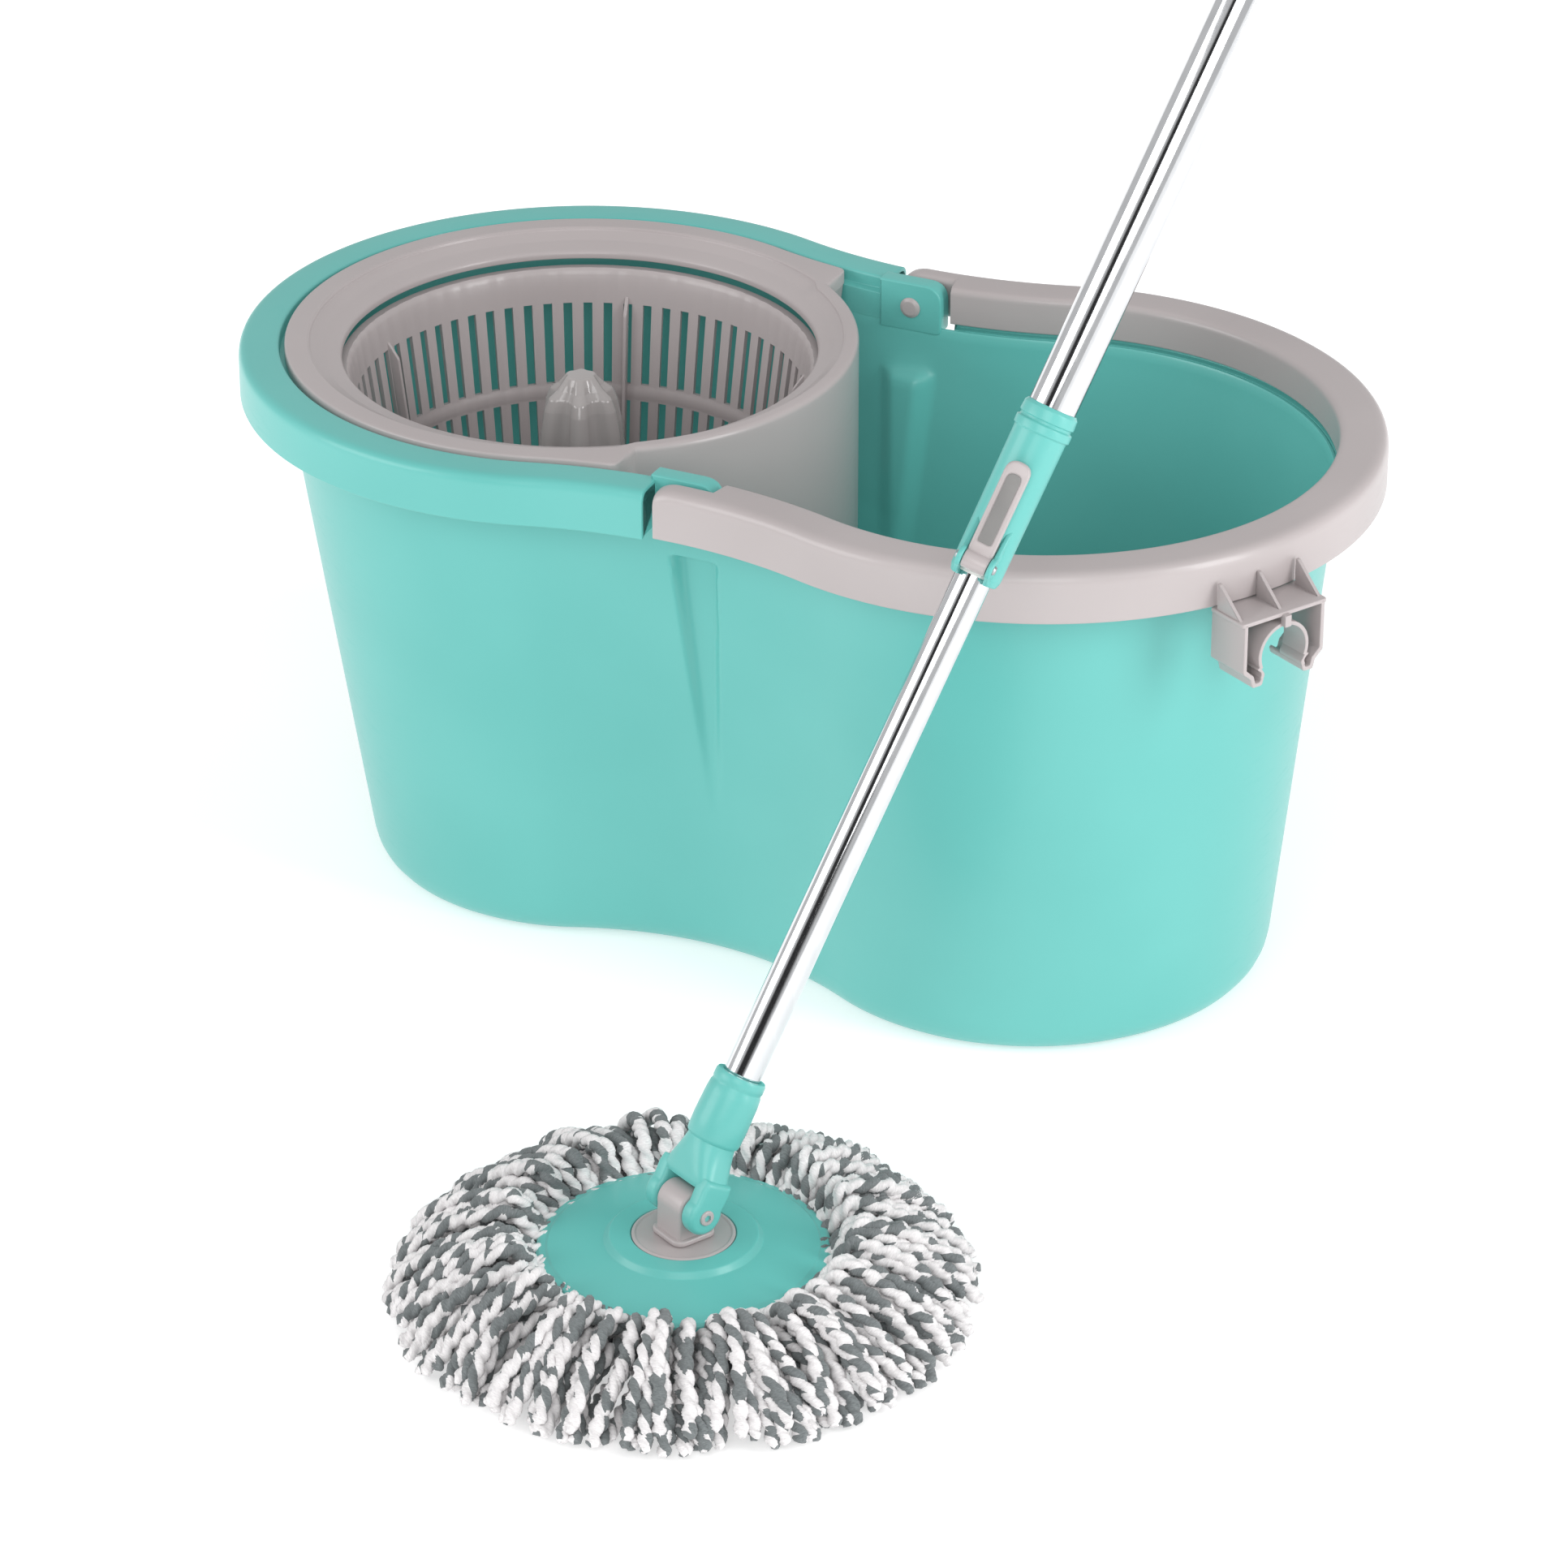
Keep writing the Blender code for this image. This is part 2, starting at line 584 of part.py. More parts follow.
def settle(obj, parent):
    """Parent an object that was built in world coordinates without moving it."""
    bpy.context.view_layer.update()
    obj.data.transform(parent.matrix_world.inverted())
    obj.parent = parent


def build_handle_pin(name, side, mat, parent):
    """A headed pin from inside the bucket, through the lug, into the handle's outer flange."""
    start = waist_half_width() - WALL - SEAT_GAP - PIN_HEAD
    head_end = start + PIN_HEAD
    end = waist_half_width() + RIM_REACH - HANDLE_SKIN - SEAT_GAP
    bm = turn_profile([(0, start), (PIN_HEAD_RADIUS - 0.8, start), (PIN_HEAD_RADIUS, start + 0.7),
                       (PIN_HEAD_RADIUS, head_end), (PIN_RADIUS, head_end), (PIN_RADIUS, end), (0, end)],
                      segments=FINE_ROUND)
    moved(bm, Matrix.Rotation(-side * math.pi / 2, 4, "X"))
    return add_object(name, bm, mat, parent)


def clip_frame():
    """Where the clip sits: X outward from the handle, Y along it, Z up."""
    turn = Matrix.Rotation(math.radians(CLIP_ANGLE), 4, "Z")
    return Matrix.Translation((HALF_SPACING, 0, 0)) @ turn


def build_pole_clip(mat, parent):
    """A bracket under the handle's outer edge: plate, ribs, side plates and spring jaws."""
    face = WALL_TOP_RADIUS + RIM_REACH
    start, end = face - 4.0, face + CLIP_REACH
    top = HANDLE_TOP - HANDLE_DEPTH - SEAT_GAP
    half, skin = CLIP_WIDTH / 2, CLIP_PLATE
    jaw_outer = CLIP_RADIUS + skin
    jaw_height = top - skin - jaw_outer - 2.0
    side = [(-half, top), (-half, top - CLIP_DROP + 6), (-half + 5, top - CLIP_DROP),
            (-half + 7, top - CLIP_DROP), (-half + 7, top - CLIP_DROP + 1.5),
            (-half + skin, top - CLIP_DROP + 7), (-half + skin, top - skin), (-half + 9, top - skin)]
    frame = side + [(-y, z) for y, z in reversed(side)]
    body = add_object("pole_clip", extrude_outline(frame, start, end, "X"), mat)
    drop = math.degrees(math.asin(0.62))
    jaw = arc(0, jaw_height, jaw_outer, -drop, 180 + drop, 14)
    jaw += arc(0, jaw_height, CLIP_RADIUS, 180 + drop, -drop, 14)
    jaws = extrude_outline(jaw, start + 8, end, "X")
    stalk = box((start + 8, -2, jaw_height + CLIP_RADIUS + 0.8), (end, 2, top - 1))
    near_arm, far_arm = jaw_outer - 1.2, half - 1
    arms = [box((start + 8, near_arm, jaw_height - 2), (end, far_arm, jaw_height + 0.5)),
            box((start + 8, -far_arm, jaw_height - 2), (end, -near_arm, jaw_height + 0.5))]
    combine(body, add_object("jaws", jaws, mat), "UNION")
    combine(body, add_object("stalk", merge(stalk, *arms), mat), "UNION")
    ribs = []
    for y in (-half + skin, 0, half - skin):
        rib = [(face + SEAT_GAP, top - 0.5), (end - 2, top - 0.5), (face + SEAT_GAP, top + CLIP_RIB)]
        ribs.append(extrude_outline(rib, y - skin / 2, y + skin / 2, "Y"))
    combine(body, add_object("ribs", merge(*ribs), mat), "UNION")
    body.data.transform(Matrix.Scale(MM, 4).inverted())
    body.data.transform(clip_frame())
    body.data.transform(Matrix.Scale(MM, 4))
    settle(body, parent)
    return body


# ---- wringer ----------------------------------------------------------------------------------

def lobe_reach(angle, height, reach):
    """Distance from the basket lobe's axis to the outline, in the direction of an angle."""
    spin, wash, blend = outline_sizes(height)
    x, y = waist_centre(spin, wash, blend)
    turn = abs(math.remainder(angle, 2 * math.pi))
    if turn >= math.atan2(y, x + HALF_SPACING):
        return spin + reach
    across = Vector((x + HALF_SPACING, y))
    along = across.dot(Vector((math.cos(turn), math.sin(turn))))
    inside = along ** 2 - across.length_squared + (blend - reach) ** 2
    return along - math.sqrt(max(inside, 0))


def ring_angles():
    """Angles round the ring, with extra ones at the guard's edges and the square corners."""
    corner_reach = waist_half_width() + RING_RADIUS - WALL_TOP_RADIUS + 2.5
    guard = math.acos((RING_CORNER_X + HALF_SPACING) / GUARD_RADIUS)
    corner = math.atan2(corner_reach, RING_CORNER_X + HALF_SPACING)
    inner_side = [-guard + 2 * guard * i / 12 for i in range(13)]
    flank = [guard + (corner - guard) * share for share in (0.12, 0.5, 1.0, 1.06)]
    outer_side = [corner + (2 * math.pi - 2 * corner) * i / 24 for i in range(1, 24)]
    return inner_side + flank + outer_side + [2 * math.pi - a for a in reversed(flank)], guard, corner


def ring_profile(angle, guard, corner):
    """Section of the ring at an angle: (radius, height) points from its inner lip outward."""
    turn = abs(math.remainder(angle, 2 * math.pi))
    ledge = RIM_LEDGE + SEAT_GAP
    inside = lobe_reach(turn, RIM_LEDGE, -WALL) - SWING_GAP
    width, edge, drop, bottom = 15.5, 1.2, 0.0, GUARD_BOTTOM
    if turn <= guard + 1e-9:
        out = side = low_out = GUARD_RADIUS
        width, edge, drop = 12.0, 4.6, 0.5
    elif turn < corner + 1e-9:
        out = (RING_CORNER_X + HALF_SPACING) / math.cos(turn)
        side = min(out, inside)
        low_out = min(out, lobe_reach(turn, GUARD_BOTTOM, -WALL) - SWING_GAP)
    else:
        out = lobe_reach(turn, RIM_HEIGHT, RING_RADIUS - WALL_TOP_RADIUS)
        side, bottom = inside, ledge
        low_out = side - 0.5
    guarded = bottom < ledge
    back = side - GUARD_WALL if guarded else low_out - GUARD_WALL - 0.5
    top, lip = RING_TOP, RING_OPENING
    return [(lip, top - 10), (lip, top - 6), (lip + 0.3 * width, top - 5.4), (lip + 0.65 * width, top - 3),
            (lip + 0.9 * width, top - 1.3), (lip + width, top - 0.9), (lip + width + 0.4, top - drop),
            (out - edge, top - drop), (out - 0.15 * edge, top - 0.85 * edge), (out, ledge),
            (side, ledge - 0.3 if guarded else ledge), (low_out, bottom), (low_out - GUARD_WALL, bottom),
            (back, ledge + 0.5), (lip + 8, top - 7.5), (lip + 2.4, top - 10)]


def build_ring(mat):
    angles, guard, corner = ring_angles()
    loops = []
    for angle in angles:
        loops.append([(-HALF_SPACING + r * math.cos(angle), r * math.sin(angle), z)
                      for r, z in ring_profile(angle, guard, corner)])
    bm = skin_loops(bmesh.new(), loops, closed_path=True, cap_ends=False)
    bmesh.ops.triangulate(bm, faces=bm.faces)
    return add_object("wringer_ring", bm, mat)


def basket_radius(height):
    share = (height - BASKET_FLOOR_HEIGHT) / (BASKET_LIP_HEIGHT - BASKET_FLOOR_HEIGHT)
    return BASKET_FLOOR_RADIUS + share * (BASKET_LIP_RADIUS - BASKET_FLOOR_RADIUS)


def basket_fins():
    """Thin upright fins that stand in from the wall, each rooted half way into it."""
    fins = []
    for i in range(FIN_COUNT):
        low, high = FIN_HEIGHTS
        roots = [basket_radius(height) - BASKET_WALL / 2 for height in FIN_HEIGHTS]
        tips = [basket_radius(height) - BASKET_WALL - FIN_DEPTH for height in FIN_HEIGHTS]
        side = [(low, roots[0]), (high, roots[1]), (high, tips[1] + 3), (high - 4, tips[1]), (low, tips[0])]
        outline = [(radius, height) for height, radius in side]
        fin = extrude_outline(outline, -FIN_WIDTH / 2, FIN_WIDTH / 2, "Y")
        fins.append(moved(fin, Matrix.Rotation(math.radians(FIN_TURN + 360 * i / FIN_COUNT), 4, "Z")))
    return fins


def build_basket(mat, parent):
    """A tapered cup whose wall is a lattice of slots, with a hub for the bushes."""
    bm = bmesh.new()
    heights = [BASKET_LIP_HEIGHT, UPPER_SLOTS[1], UPPER_SLOTS[0], LOWER_SLOTS[1], LOWER_SLOTS[0],
               BASKET_FLOOR_HEIGHT]
    pitch = 2 * math.pi / SLOT_COUNT
    angles = []
    for i in range(SLOT_COUNT):
        angles += [i * pitch, i * pitch + pitch * (1 - SLOT_SHARE)]

    def ring(radius, height):
        return [bm.verts.new((radius * math.cos(a), radius * math.sin(a), height)) for a in angles]

    outer = [None] + [ring(basket_radius(h), h) for h in heights[1:]]
    inner = [ring(basket_radius(h) - BASKET_WALL, h) for h in heights[:-1]]
    inner.append(ring(basket_radius(BASKET_FLOOR_HEIGHT + BASKET_FLOOR) - BASKET_WALL,
                      BASKET_FLOOR_HEIGHT + BASKET_FLOOR))
    lip = ring(BASKET_LIP_RADIUS + 3, BASKET_LIP_HEIGHT)
    open_rows = (1, 3)
    count = len(angles)

    def quad(a, b, i):
        bm.faces.new((a[i], a[(i + 1) % count], b[(i + 1) % count], b[i]))

    for i in range(count):
        quad(inner[0], lip, i)
        quad(lip, outer[1], i)
        quad(inner[1], inner[0], i)
        for row in range(1, 5):
            if row in open_rows and i % 2 == 1:
                quad(outer[row], inner[row], i)
                quad(inner[row + 1], outer[row + 1], i)
                continue
            quad(outer[row], outer[row + 1], i)
            quad(inner[row + 1], inner[row], i)
            if row in open_rows:
                j = (i + 1) % count
                for k in (i, j):
                    bm.faces.new((outer[row][k], inner[row][k], inner[row + 1][k], outer[row + 1][k]))
    bm.faces.new(outer[5])
    bm.faces.new(inner[5])
    basket = add_object("basket", bm, mat, parent)
    floor_top = BASKET_FLOOR_HEIGHT + BASKET_FLOOR
    hub_top = floor_top - 0.8
    hub = turn_profile([(0, HUB_LOW), (HUB_RADIUS, HUB_LOW), (HUB_RADIUS, hub_top), (0, hub_top)])
    combine(basket, add_object("hub", merge(hub, *basket_fins()), mat, parent), "UNION")
    bush = SPINDLE_RADIUS + RUN_GAP + BUSH_WALL + SEAT_GAP
    bores = [turn_profile([(0, HUB_LOW - 2), (bush, HUB_LOW - 2), (bush, floor_top + 2), (0, floor_top + 2)])]
    for i in range(DRAIN_HOLES):
        angle = 2 * math.pi * (i + 0.5) / DRAIN_HOLES
        middle = (BOSS_BASE_RADIUS + BASKET_FLOOR_RADIUS) / 2
        bores.append(turn_profile([(0, BASKET_FLOOR_HEIGHT - 2), (DRAIN_HOLE_RADIUS, BASKET_FLOOR_HEIGHT - 2),
                                   (DRAIN_HOLE_RADIUS, floor_top + 2), (0, floor_top + 2)], segments=12,
                                  centre=(middle * math.cos(angle), middle * math.sin(angle))))
    combine(basket, add_object("bores", merge(*bores), mat, parent), "DIFFERENCE")
    return basket


def build_drive_boss(mat, parent):
    """A lobed hollow cone on the basket's floor that drives the mop disc."""
    base = BASKET_FLOOR_HEIGHT + BASKET_FLOOR + SEAT_GAP
    top = BOSS_TOP
    outer = [(BOSS_BASE_RADIUS, base), (BOSS_BASE_RADIUS, base + 3), (24.0, base + 18), (21.0, base + 45),
             (18.5, top - 22), (15.0, top - 8), (BOSS_TOP_RADIUS + 1, top - 1.5), (BOSS_TOP_RADIUS - 2, top),
             (0, top)]
    inner = [(0, top - BOSS_WALL), (BOSS_TOP_RADIUS - 3, top - BOSS_WALL), (12.0, top - 10), (15.4, top - 23),
             (17.6, base + 44), (20.6, base + 17), (BOSS_BASE_RADIUS - BOSS_WALL - 1, base)]
    depths = [0.0, 0.0, 0.10, 0.11, 0.12, 0.12, 0.08, 0.0, 0.0, 0.0, 0.0, 0.08, 0.10, 0.10, 0.09, 0.0]

    def lobed(index, radius, angle):
        return radius * (1 + depths[index] * math.cos(BOSS_LOBES * angle)) if radius > 0 else 0
    bm = turn_profile(outer + inner, segments=4 * BOSS_LOBES, radius_at=lobed)
    return add_object("drive_boss", bm, mat, parent, sharp=50)


def build_spindle_parts(steel, brass, pale, root, basket_parent):
    """Steel spindle in the bucket's column, the washer on top of it, and the basket's two bushes."""
    seat = STAND_HEIGHT - STAND_SOCKET + SEAT_GAP
    rod = turn_profile([(0, seat), (SPINDLE_RADIUS, seat), (SPINDLE_RADIUS, SPINDLE_TOP - 1),
                        (SPINDLE_RADIUS - 1, SPINDLE_TOP), (0, SPINDLE_TOP)], segments=FINE_ROUND)
    add_object("spindle", rod, steel, root)
    bore = SPINDLE_RADIUS + RUN_GAP
    low = STAND_HEIGHT + SEAT_GAP
    high = SPINDLE_TOP - 12
    washer = tube_profile(bore, HUB_RADIUS, low, low + THRUST_WASHER)
    lower = tube_profile(bore, bore + BUSH_WALL, HUB_LOW, HUB_LOW + BUSH_LENGTH)
    upper = tube_profile(bore, bore + BUSH_WALL + 2, high - BUSH_LENGTH, high)
    clip = tube_profile(SPINDLE_RADIUS + SEAT_GAP, SPINDLE_RADIUS + 4, high + RUN_GAP, high + RUN_GAP + 1.2)
    spacer_low, spacer_high = HUB_LOW + BUSH_LENGTH + SEAT_GAP, high - BUSH_LENGTH - SEAT_GAP
    spacer = tube_profile(bore, bore + BUSH_WALL, spacer_low, spacer_high)
    add_object("thrust_washer", turn_profile(washer), brass, root)
    add_object("spindle_clip", turn_profile(clip), steel, root)
    add_object("lower_bush", turn_profile(lower), brass, basket_parent)
    add_object("upper_bush", turn_profile(upper), brass, basket_parent)
    add_object("bush_spacer", turn_profile(spacer), pale, basket_parent)


# ---- mop head ---------------------------------------------------------------------------------

def build_head(finishes, parent):
    """Disc, refill ring and fringe, turned about the head's own axis."""
    top, skin = DISC_TOP, DISC_SKIN
    step_top = top + DISC_STEP
    recess = step_top - PLATE_SKIN
    collar_out, collar_in = DISC_COLLAR_RADIUS, DISC_COLLAR_RADIUS - 2.5
    under = top - skin
    collar_low = under - DISC_COLLAR_DEPTH
    disc = [(STEM_RADIUS + RUN_GAP, under), (STEM_RADIUS + RUN_GAP, recess), (PLATE_RADIUS + RUN_GAP, recess),
            (PLATE_RADIUS + RUN_GAP, step_top), (DISC_STEP_RADIUS - 1.5, step_top),
            (DISC_STEP_RADIUS, step_top - 0.8), (DISC_STEP_RADIUS + 0.8, top),
            (DISC_RADIUS - 4, top - 3), (DISC_RADIUS - 2.5, top - 2.6),
            (DISC_RADIUS - 0.6, top - 3.4), (DISC_RADIUS, top - 4.6), (DISC_RADIUS, top - 7),
            (DISC_RADIUS - 2.2, top - 7), (DISC_RADIUS - 2.6, under - 1.6), (collar_out, under - 1.0),
            (collar_out, collar_low), (collar_in, collar_low), (collar_in, under)]
    add_object("mop_disc", turn_profile(disc, segments=WIDE_ROUND), finishes["teal"], parent)
    ring_top = under - 2.2
    ring = [(collar_out + RUN_GAP, ring_top - REFILL_HEIGHT), (REFILL_RADIUS, ring_top - REFILL_HEIGHT),
            (REFILL_RADIUS, ring_top), (collar_out + RUN_GAP, ring_top)]
    add_object("refill_ring", turn_profile(ring, segments=WIDE_ROUND), finishes["white"], parent)
    low = ring_top - REFILL_HEIGHT - SEAT_GAP
    out, high = FRINGE_RADIUS, FRINGE_TOP
    fringe = [(FRINGE_BORE, 0), (out - 4, 0), (out, 4), (out - 2, high * 0.29), (out - 10, high * 0.58), (out - 26, high * 0.8),
              (out - 44, high - 3), (out - 56, high), (DISC_RADIUS + 4, high - 1),
              (DISC_RADIUS + 1.2, high - 7), (DISC_RADIUS + 1.2, top - 8), (REFILL_RADIUS + 1, top - 8),
              (REFILL_RADIUS + 1, low), (FRINGE_BORE, low)]
    add_object("fringe", turn_profile(fringe, segments=WIDE_ROUND), finishes["yarn"], parent)


def knuckle_outline():
    """Side view of the knuckle: a flange on the plate, a neck, and a round top on the pin."""
    plate = DISC_TOP + DISC_STEP + 0.2
    rise = TILT_HEIGHT
    flange, neck = 10.5, KNUCKLE_RADIUS - 0.2
    return ([(-flange, plate), (flange, plate), (flange, plate + 2), (neck, plate + 3.5)]
            + arc(0, rise, KNUCKLE_RADIUS, 0, 180, 10) + [(-neck, plate + 3.5), (-flange, plate + 2)])


def build_knuckle(finishes, parent):
    """Knuckle, swivel plate, washer and screw: what the pole leans on and the disc turns under."""
    half = KNUCKLE_WIDTH / 2
    under = DISC_TOP - DISC_SKIN
    block = extrude_outline(knuckle_outline(), -half, half, "Y")
    body = add_object("knuckle", block, finishes["grey"], parent)
    stem = turn_profile([(0, under), (STEM_RADIUS, under), (STEM_RADIUS, DISC_TOP + 8), (0, DISC_TOP + 8)],
                        segments=24)
    combine(body, add_object("stem", stem, finishes["grey"], parent), "UNION")
    bore = turn_profile([(0, under - 2), (SWIVEL_SCREW_RADIUS + SEAT_GAP, under - 2),
                         (SWIVEL_SCREW_RADIUS + SEAT_GAP, DISC_TOP + 6), (0, DISC_TOP + 6)], segments=16)
    pin = turn_profile([(0, -half - 3), (TILT_PIN_RADIUS + RUN_GAP, -half - 3),
                        (TILT_PIN_RADIUS + RUN_GAP, half + 3), (0, half + 3)], segments=24)
    moved(pin, Matrix.Translation((0, 0, TILT_HEIGHT)) @ Matrix.Rotation(math.pi / 2, 4, "X"))
    combine(body, add_object("bores", merge(bore, pin), finishes["grey"], parent), "DIFFERENCE")
    top = DISC_TOP + DISC_STEP
    plate_low = top - PLATE_SKIN + SEAT_GAP
    plate = [(STEM_RADIUS + SEAT_GAP, plate_low), (PLATE_RADIUS, plate_low), (PLATE_RADIUS, top - 0.4),
             (PLATE_RADIUS - 0.6, top - 0.1), (STEM_RADIUS + SEAT_GAP, top - 0.1)]
    add_object("swivel_plate", turn_profile(plate, segments=24), finishes["grey"], parent)
    washer_top = under - SEAT_GAP
    add_object("swivel_washer", turn_profile(tube_profile(SWIVEL_SCREW_RADIUS + RUN_GAP, 11, washer_top - 1.6,
                                                          washer_top)), finishes["steel"], parent)
    head_top = washer_top - 1.6 - SEAT_GAP
    screw = [(0, head_top - 3), (4.2, head_top - 3), (5.2, head_top - 1.8), (5.2, head_top),
             (SWIVEL_SCREW_RADIUS, head_top), (SWIVEL_SCREW_RADIUS, DISC_TOP + 4), (0, DISC_TOP + 5.5)]
    add_object("swivel_screw", turn_profile(screw, segments=24), finishes["steel"], parent)


# ---- pole -------------------------------------------------------------------------------------

def build_yoke(finishes, parent):
    """Fork and tube socket in one, with the tilting pin through its ears and a screw in its side."""
    inner = KNUCKLE_WIDTH / 2 + 0.5
    outer = inner + EAR_WIDTH
    neck = YOKE_NECK
    ear = arc(0, 0, EAR_RADIUS, 180, 360, 10) + [(EAR_RADIUS, neck - 6), (EAR_RADIUS - 1, neck),
                                                (1 - EAR_RADIUS, neck), (-EAR_RADIUS, neck - 6)]
    body = add_object("yoke", extrude_outline(ear, inner, outer, "Y"), finishes["teal"], parent)
    other = add_object("ear", extrude_outline(ear, -outer, -inner, "Y"), finishes["teal"], parent)
    bridge_low = KNUCKLE_RADIUS + SWING_GAP
    bridge = [(-outer + 0.6, bridge_low), (outer - 0.6, bridge_low), (outer - 0.6, neck - 4),
              (YOKE_RADIUS - 1, neck + 5), (-YOKE_RADIUS + 1, neck + 5), (-outer + 0.6, neck - 4)]
    joined = extrude_outline(bridge, -EAR_RADIUS + 0.4, EAR_RADIUS - 0.4, "X")
    lip = YOKE_TOP - 4
    socket = [(0, neck - 3), (YOKE_RADIUS - 2, neck - 3), (YOKE_RADIUS, neck + 1), (YOKE_RADIUS, lip - 6),
              (YOKE_RADIUS - 0.5, lip - 5.6), (YOKE_RADIUS - 0.5, lip - 4.4), (YOKE_RADIUS, lip - 4),
              (YOKE_RADIUS - 0.4, lip), (YOKE_LIP_RADIUS, lip), (YOKE_LIP_RADIUS, YOKE_TOP), (0, YOKE_TOP)]
    bridge_tool = add_object("bridge", joined, finishes["teal"], parent)
    combine(body, bridge_tool, "UNION")
    combine(body, other, "UNION")
    combine(body, add_object("socket", turn_profile(socket), finishes["teal"], parent), "UNION")
    tube = LOWER_TUBE_RADIUS + SEAT_GAP
    start = LOWER_TUBE_START - SEAT_GAP
    bore = turn_profile([(0, start), (tube, start), (tube, YOKE_TOP + 5), (0, YOKE_TOP + 5)])
    pin = turn_profile([(0, -outer - 5), (TILT_PIN_RADIUS + SEAT_GAP, -outer - 5),
                        (TILT_PIN_RADIUS + SEAT_GAP, outer + 5), (0, outer + 5)], segments=24)
    moved(pin, Matrix.Rotation(math.pi / 2, 4, "X"))
    height = YOKE_TOP - 18
    screw_hole = turn_profile([(0, tube - 2), (1.8, tube - 2), (1.8, YOKE_RADIUS + 5), (0, YOKE_RADIUS + 5)])
    moved(screw_hole, Matrix.Translation((0, 0, height)) @ Matrix.Rotation(math.pi / 2, 4, "Y"))
    combine(body, add_object("bores", merge(bore, pin, screw_hole), finishes["teal"], parent), "DIFFERENCE")
    screw = turn_profile([(0, tube + 0.2), (1.5, tube + 0.2), (1.5, YOKE_RADIUS + SEAT_GAP),
                          (3.0, YOKE_RADIUS + SEAT_GAP), (2.6, YOKE_RADIUS + 1.4), (0, YOKE_RADIUS + 1.7)])
    moved(screw, Matrix.Translation((0, 0, height)) @ Matrix.Rotation(math.pi / 2, 4, "Y"))
    add_object("yoke_screw", screw, finishes["steel"], parent)
    build_tilt_pin(outer, finishes["grey"], parent)


def build_tilt_pin(half_length, mat, parent):
    """A grey pin with a six-sided recess in its front end."""
    bm = turn_profile([(0, -half_length + 0.4), (TILT_PIN_RADIUS, -half_length + 0.4),
                       (TILT_PIN_RADIUS, half_length - 0.4), (0, half_length - 0.4)], segments=24)
    pin = add_object("tilt_pin", moved(bm, Matrix.Rotation(math.pi / 2, 4, "X")), mat, parent)
    hexagon = [(1.9 * math.cos(a * math.pi / 3), 1.9 * math.sin(a * math.pi / 3)) for a in range(6)]
    recess = extrude_outline(hexagon, -half_length - 2, -half_length + 4, "Y")
    combine(pin, add_object("recess", recess, mat, parent), "DIFFERENCE")


def build_collar(finishes, parent):
    """Locking collar at the foot of the upper tube, with ears and a pocket for the lever."""
    start, end = COLLAR_START, COLLAR_END
    lower_bore, upper_bore = LOWER_TUBE_RADIUS + RUN_GAP, UPPER_TUBE_RADIUS + SEAT_GAP
    brake_bore = LOWER_TUBE_RADIUS + SEAT_GAP + BRAKE_WALL + SEAT_GAP
    brake_low, brake_high = start + 2, start + 2 + BRAKE_LENGTH + 2 * SEAT_GAP
    seat = UPPER_TUBE_START - SEAT_GAP
    out = COLLAR_RADIUS
    profile = [(lower_bore, start), (out - 1.0, start), (out, start + 2), (out, end - 9),
               (out + 0.8, end - 8), (out + 0.8, end - 3.4), (out, end - 2.6), (out - 0.4, end),
               (upper_bore, end), (upper_bore, seat), (lower_bore, seat), (lower_bore, brake_high),
               (brake_bore, brake_high), (brake_bore, brake_low), (lower_bore, brake_low)]
    body = add_object("lock_collar", turn_profile(profile), finishes["teal"], parent)
    half = LEVER_WIDTH / 2 + RUN_GAP
    length = half + LEVER_EAR
    reach, rise = LEVER_PIN_REACH, start + LEVER_PIN_RISE
    ear = ([(4.0, start + 0.5), (reach, start + 0.5)] + arc(reach, rise, 4.6, -80, 90, 7)
           + [(9.0, rise + 16), (4.0, rise + 22)])
    ears = merge(extrude_outline(ear, half, length, "Y"), extrude_outline(ear, -length, -half, "Y"))
    combine(body, add_object("ears", ears, finishes["teal"], parent), "UNION")
    pocket = box((lower_bore - 1, -half, start - 2), (reach + 12, half, rise + 10))
    tube_way = lower_bore - RUN_GAP / 4
    bore = turn_profile([(0, start - 5), (brake_bore, start - 5), (brake_bore, brake_high), (tube_way, brake_high),
                         (tube_way, rise + 25), (0, rise + 25)])
    pin = turn_profile([(0, -half - 5), (LEVER_PIN_RADIUS + SEAT_GAP, -half - 5),
                        (LEVER_PIN_RADIUS + SEAT_GAP, half + 5), (0, half + 5)])
    moved(pin, Matrix.Translation((reach, 0, rise)) @ Matrix.Rotation(math.pi / 2, 4, "X"))
    combine(body, add_object("pocket", pocket, finishes["teal"], parent), "DIFFERENCE")
    combine(body, add_object("bores", merge(bore, pin), finishes["teal"], parent), "DIFFERENCE")
    sleeve = tube_profile(LOWER_TUBE_RADIUS + SEAT_GAP, LOWER_TUBE_RADIUS + SEAT_GAP + BRAKE_WALL,
                          brake_low + SEAT_GAP, brake_high - SEAT_GAP)
    add_object("brake_sleeve", turn_profile(sleeve), finishes["white"], parent)
    rivet = turn_profile([(0, -length - 0.9), (1.9, -length - 0.9), (2.3, -length - SEAT_GAP),
                          (LEVER_PIN_RADIUS, -length - SEAT_GAP), (LEVER_PIN_RADIUS, length + SEAT_GAP),
                          (2.3, length + SEAT_GAP), (1.9, length + 0.9), (0, length + 0.9)])
    moved(rivet, Matrix.Translation((reach, 0, rise)) @ Matrix.Rotation(math.pi / 2, 4, "X"))
    add_object("lever_pin", rivet, finishes["steel"], parent)


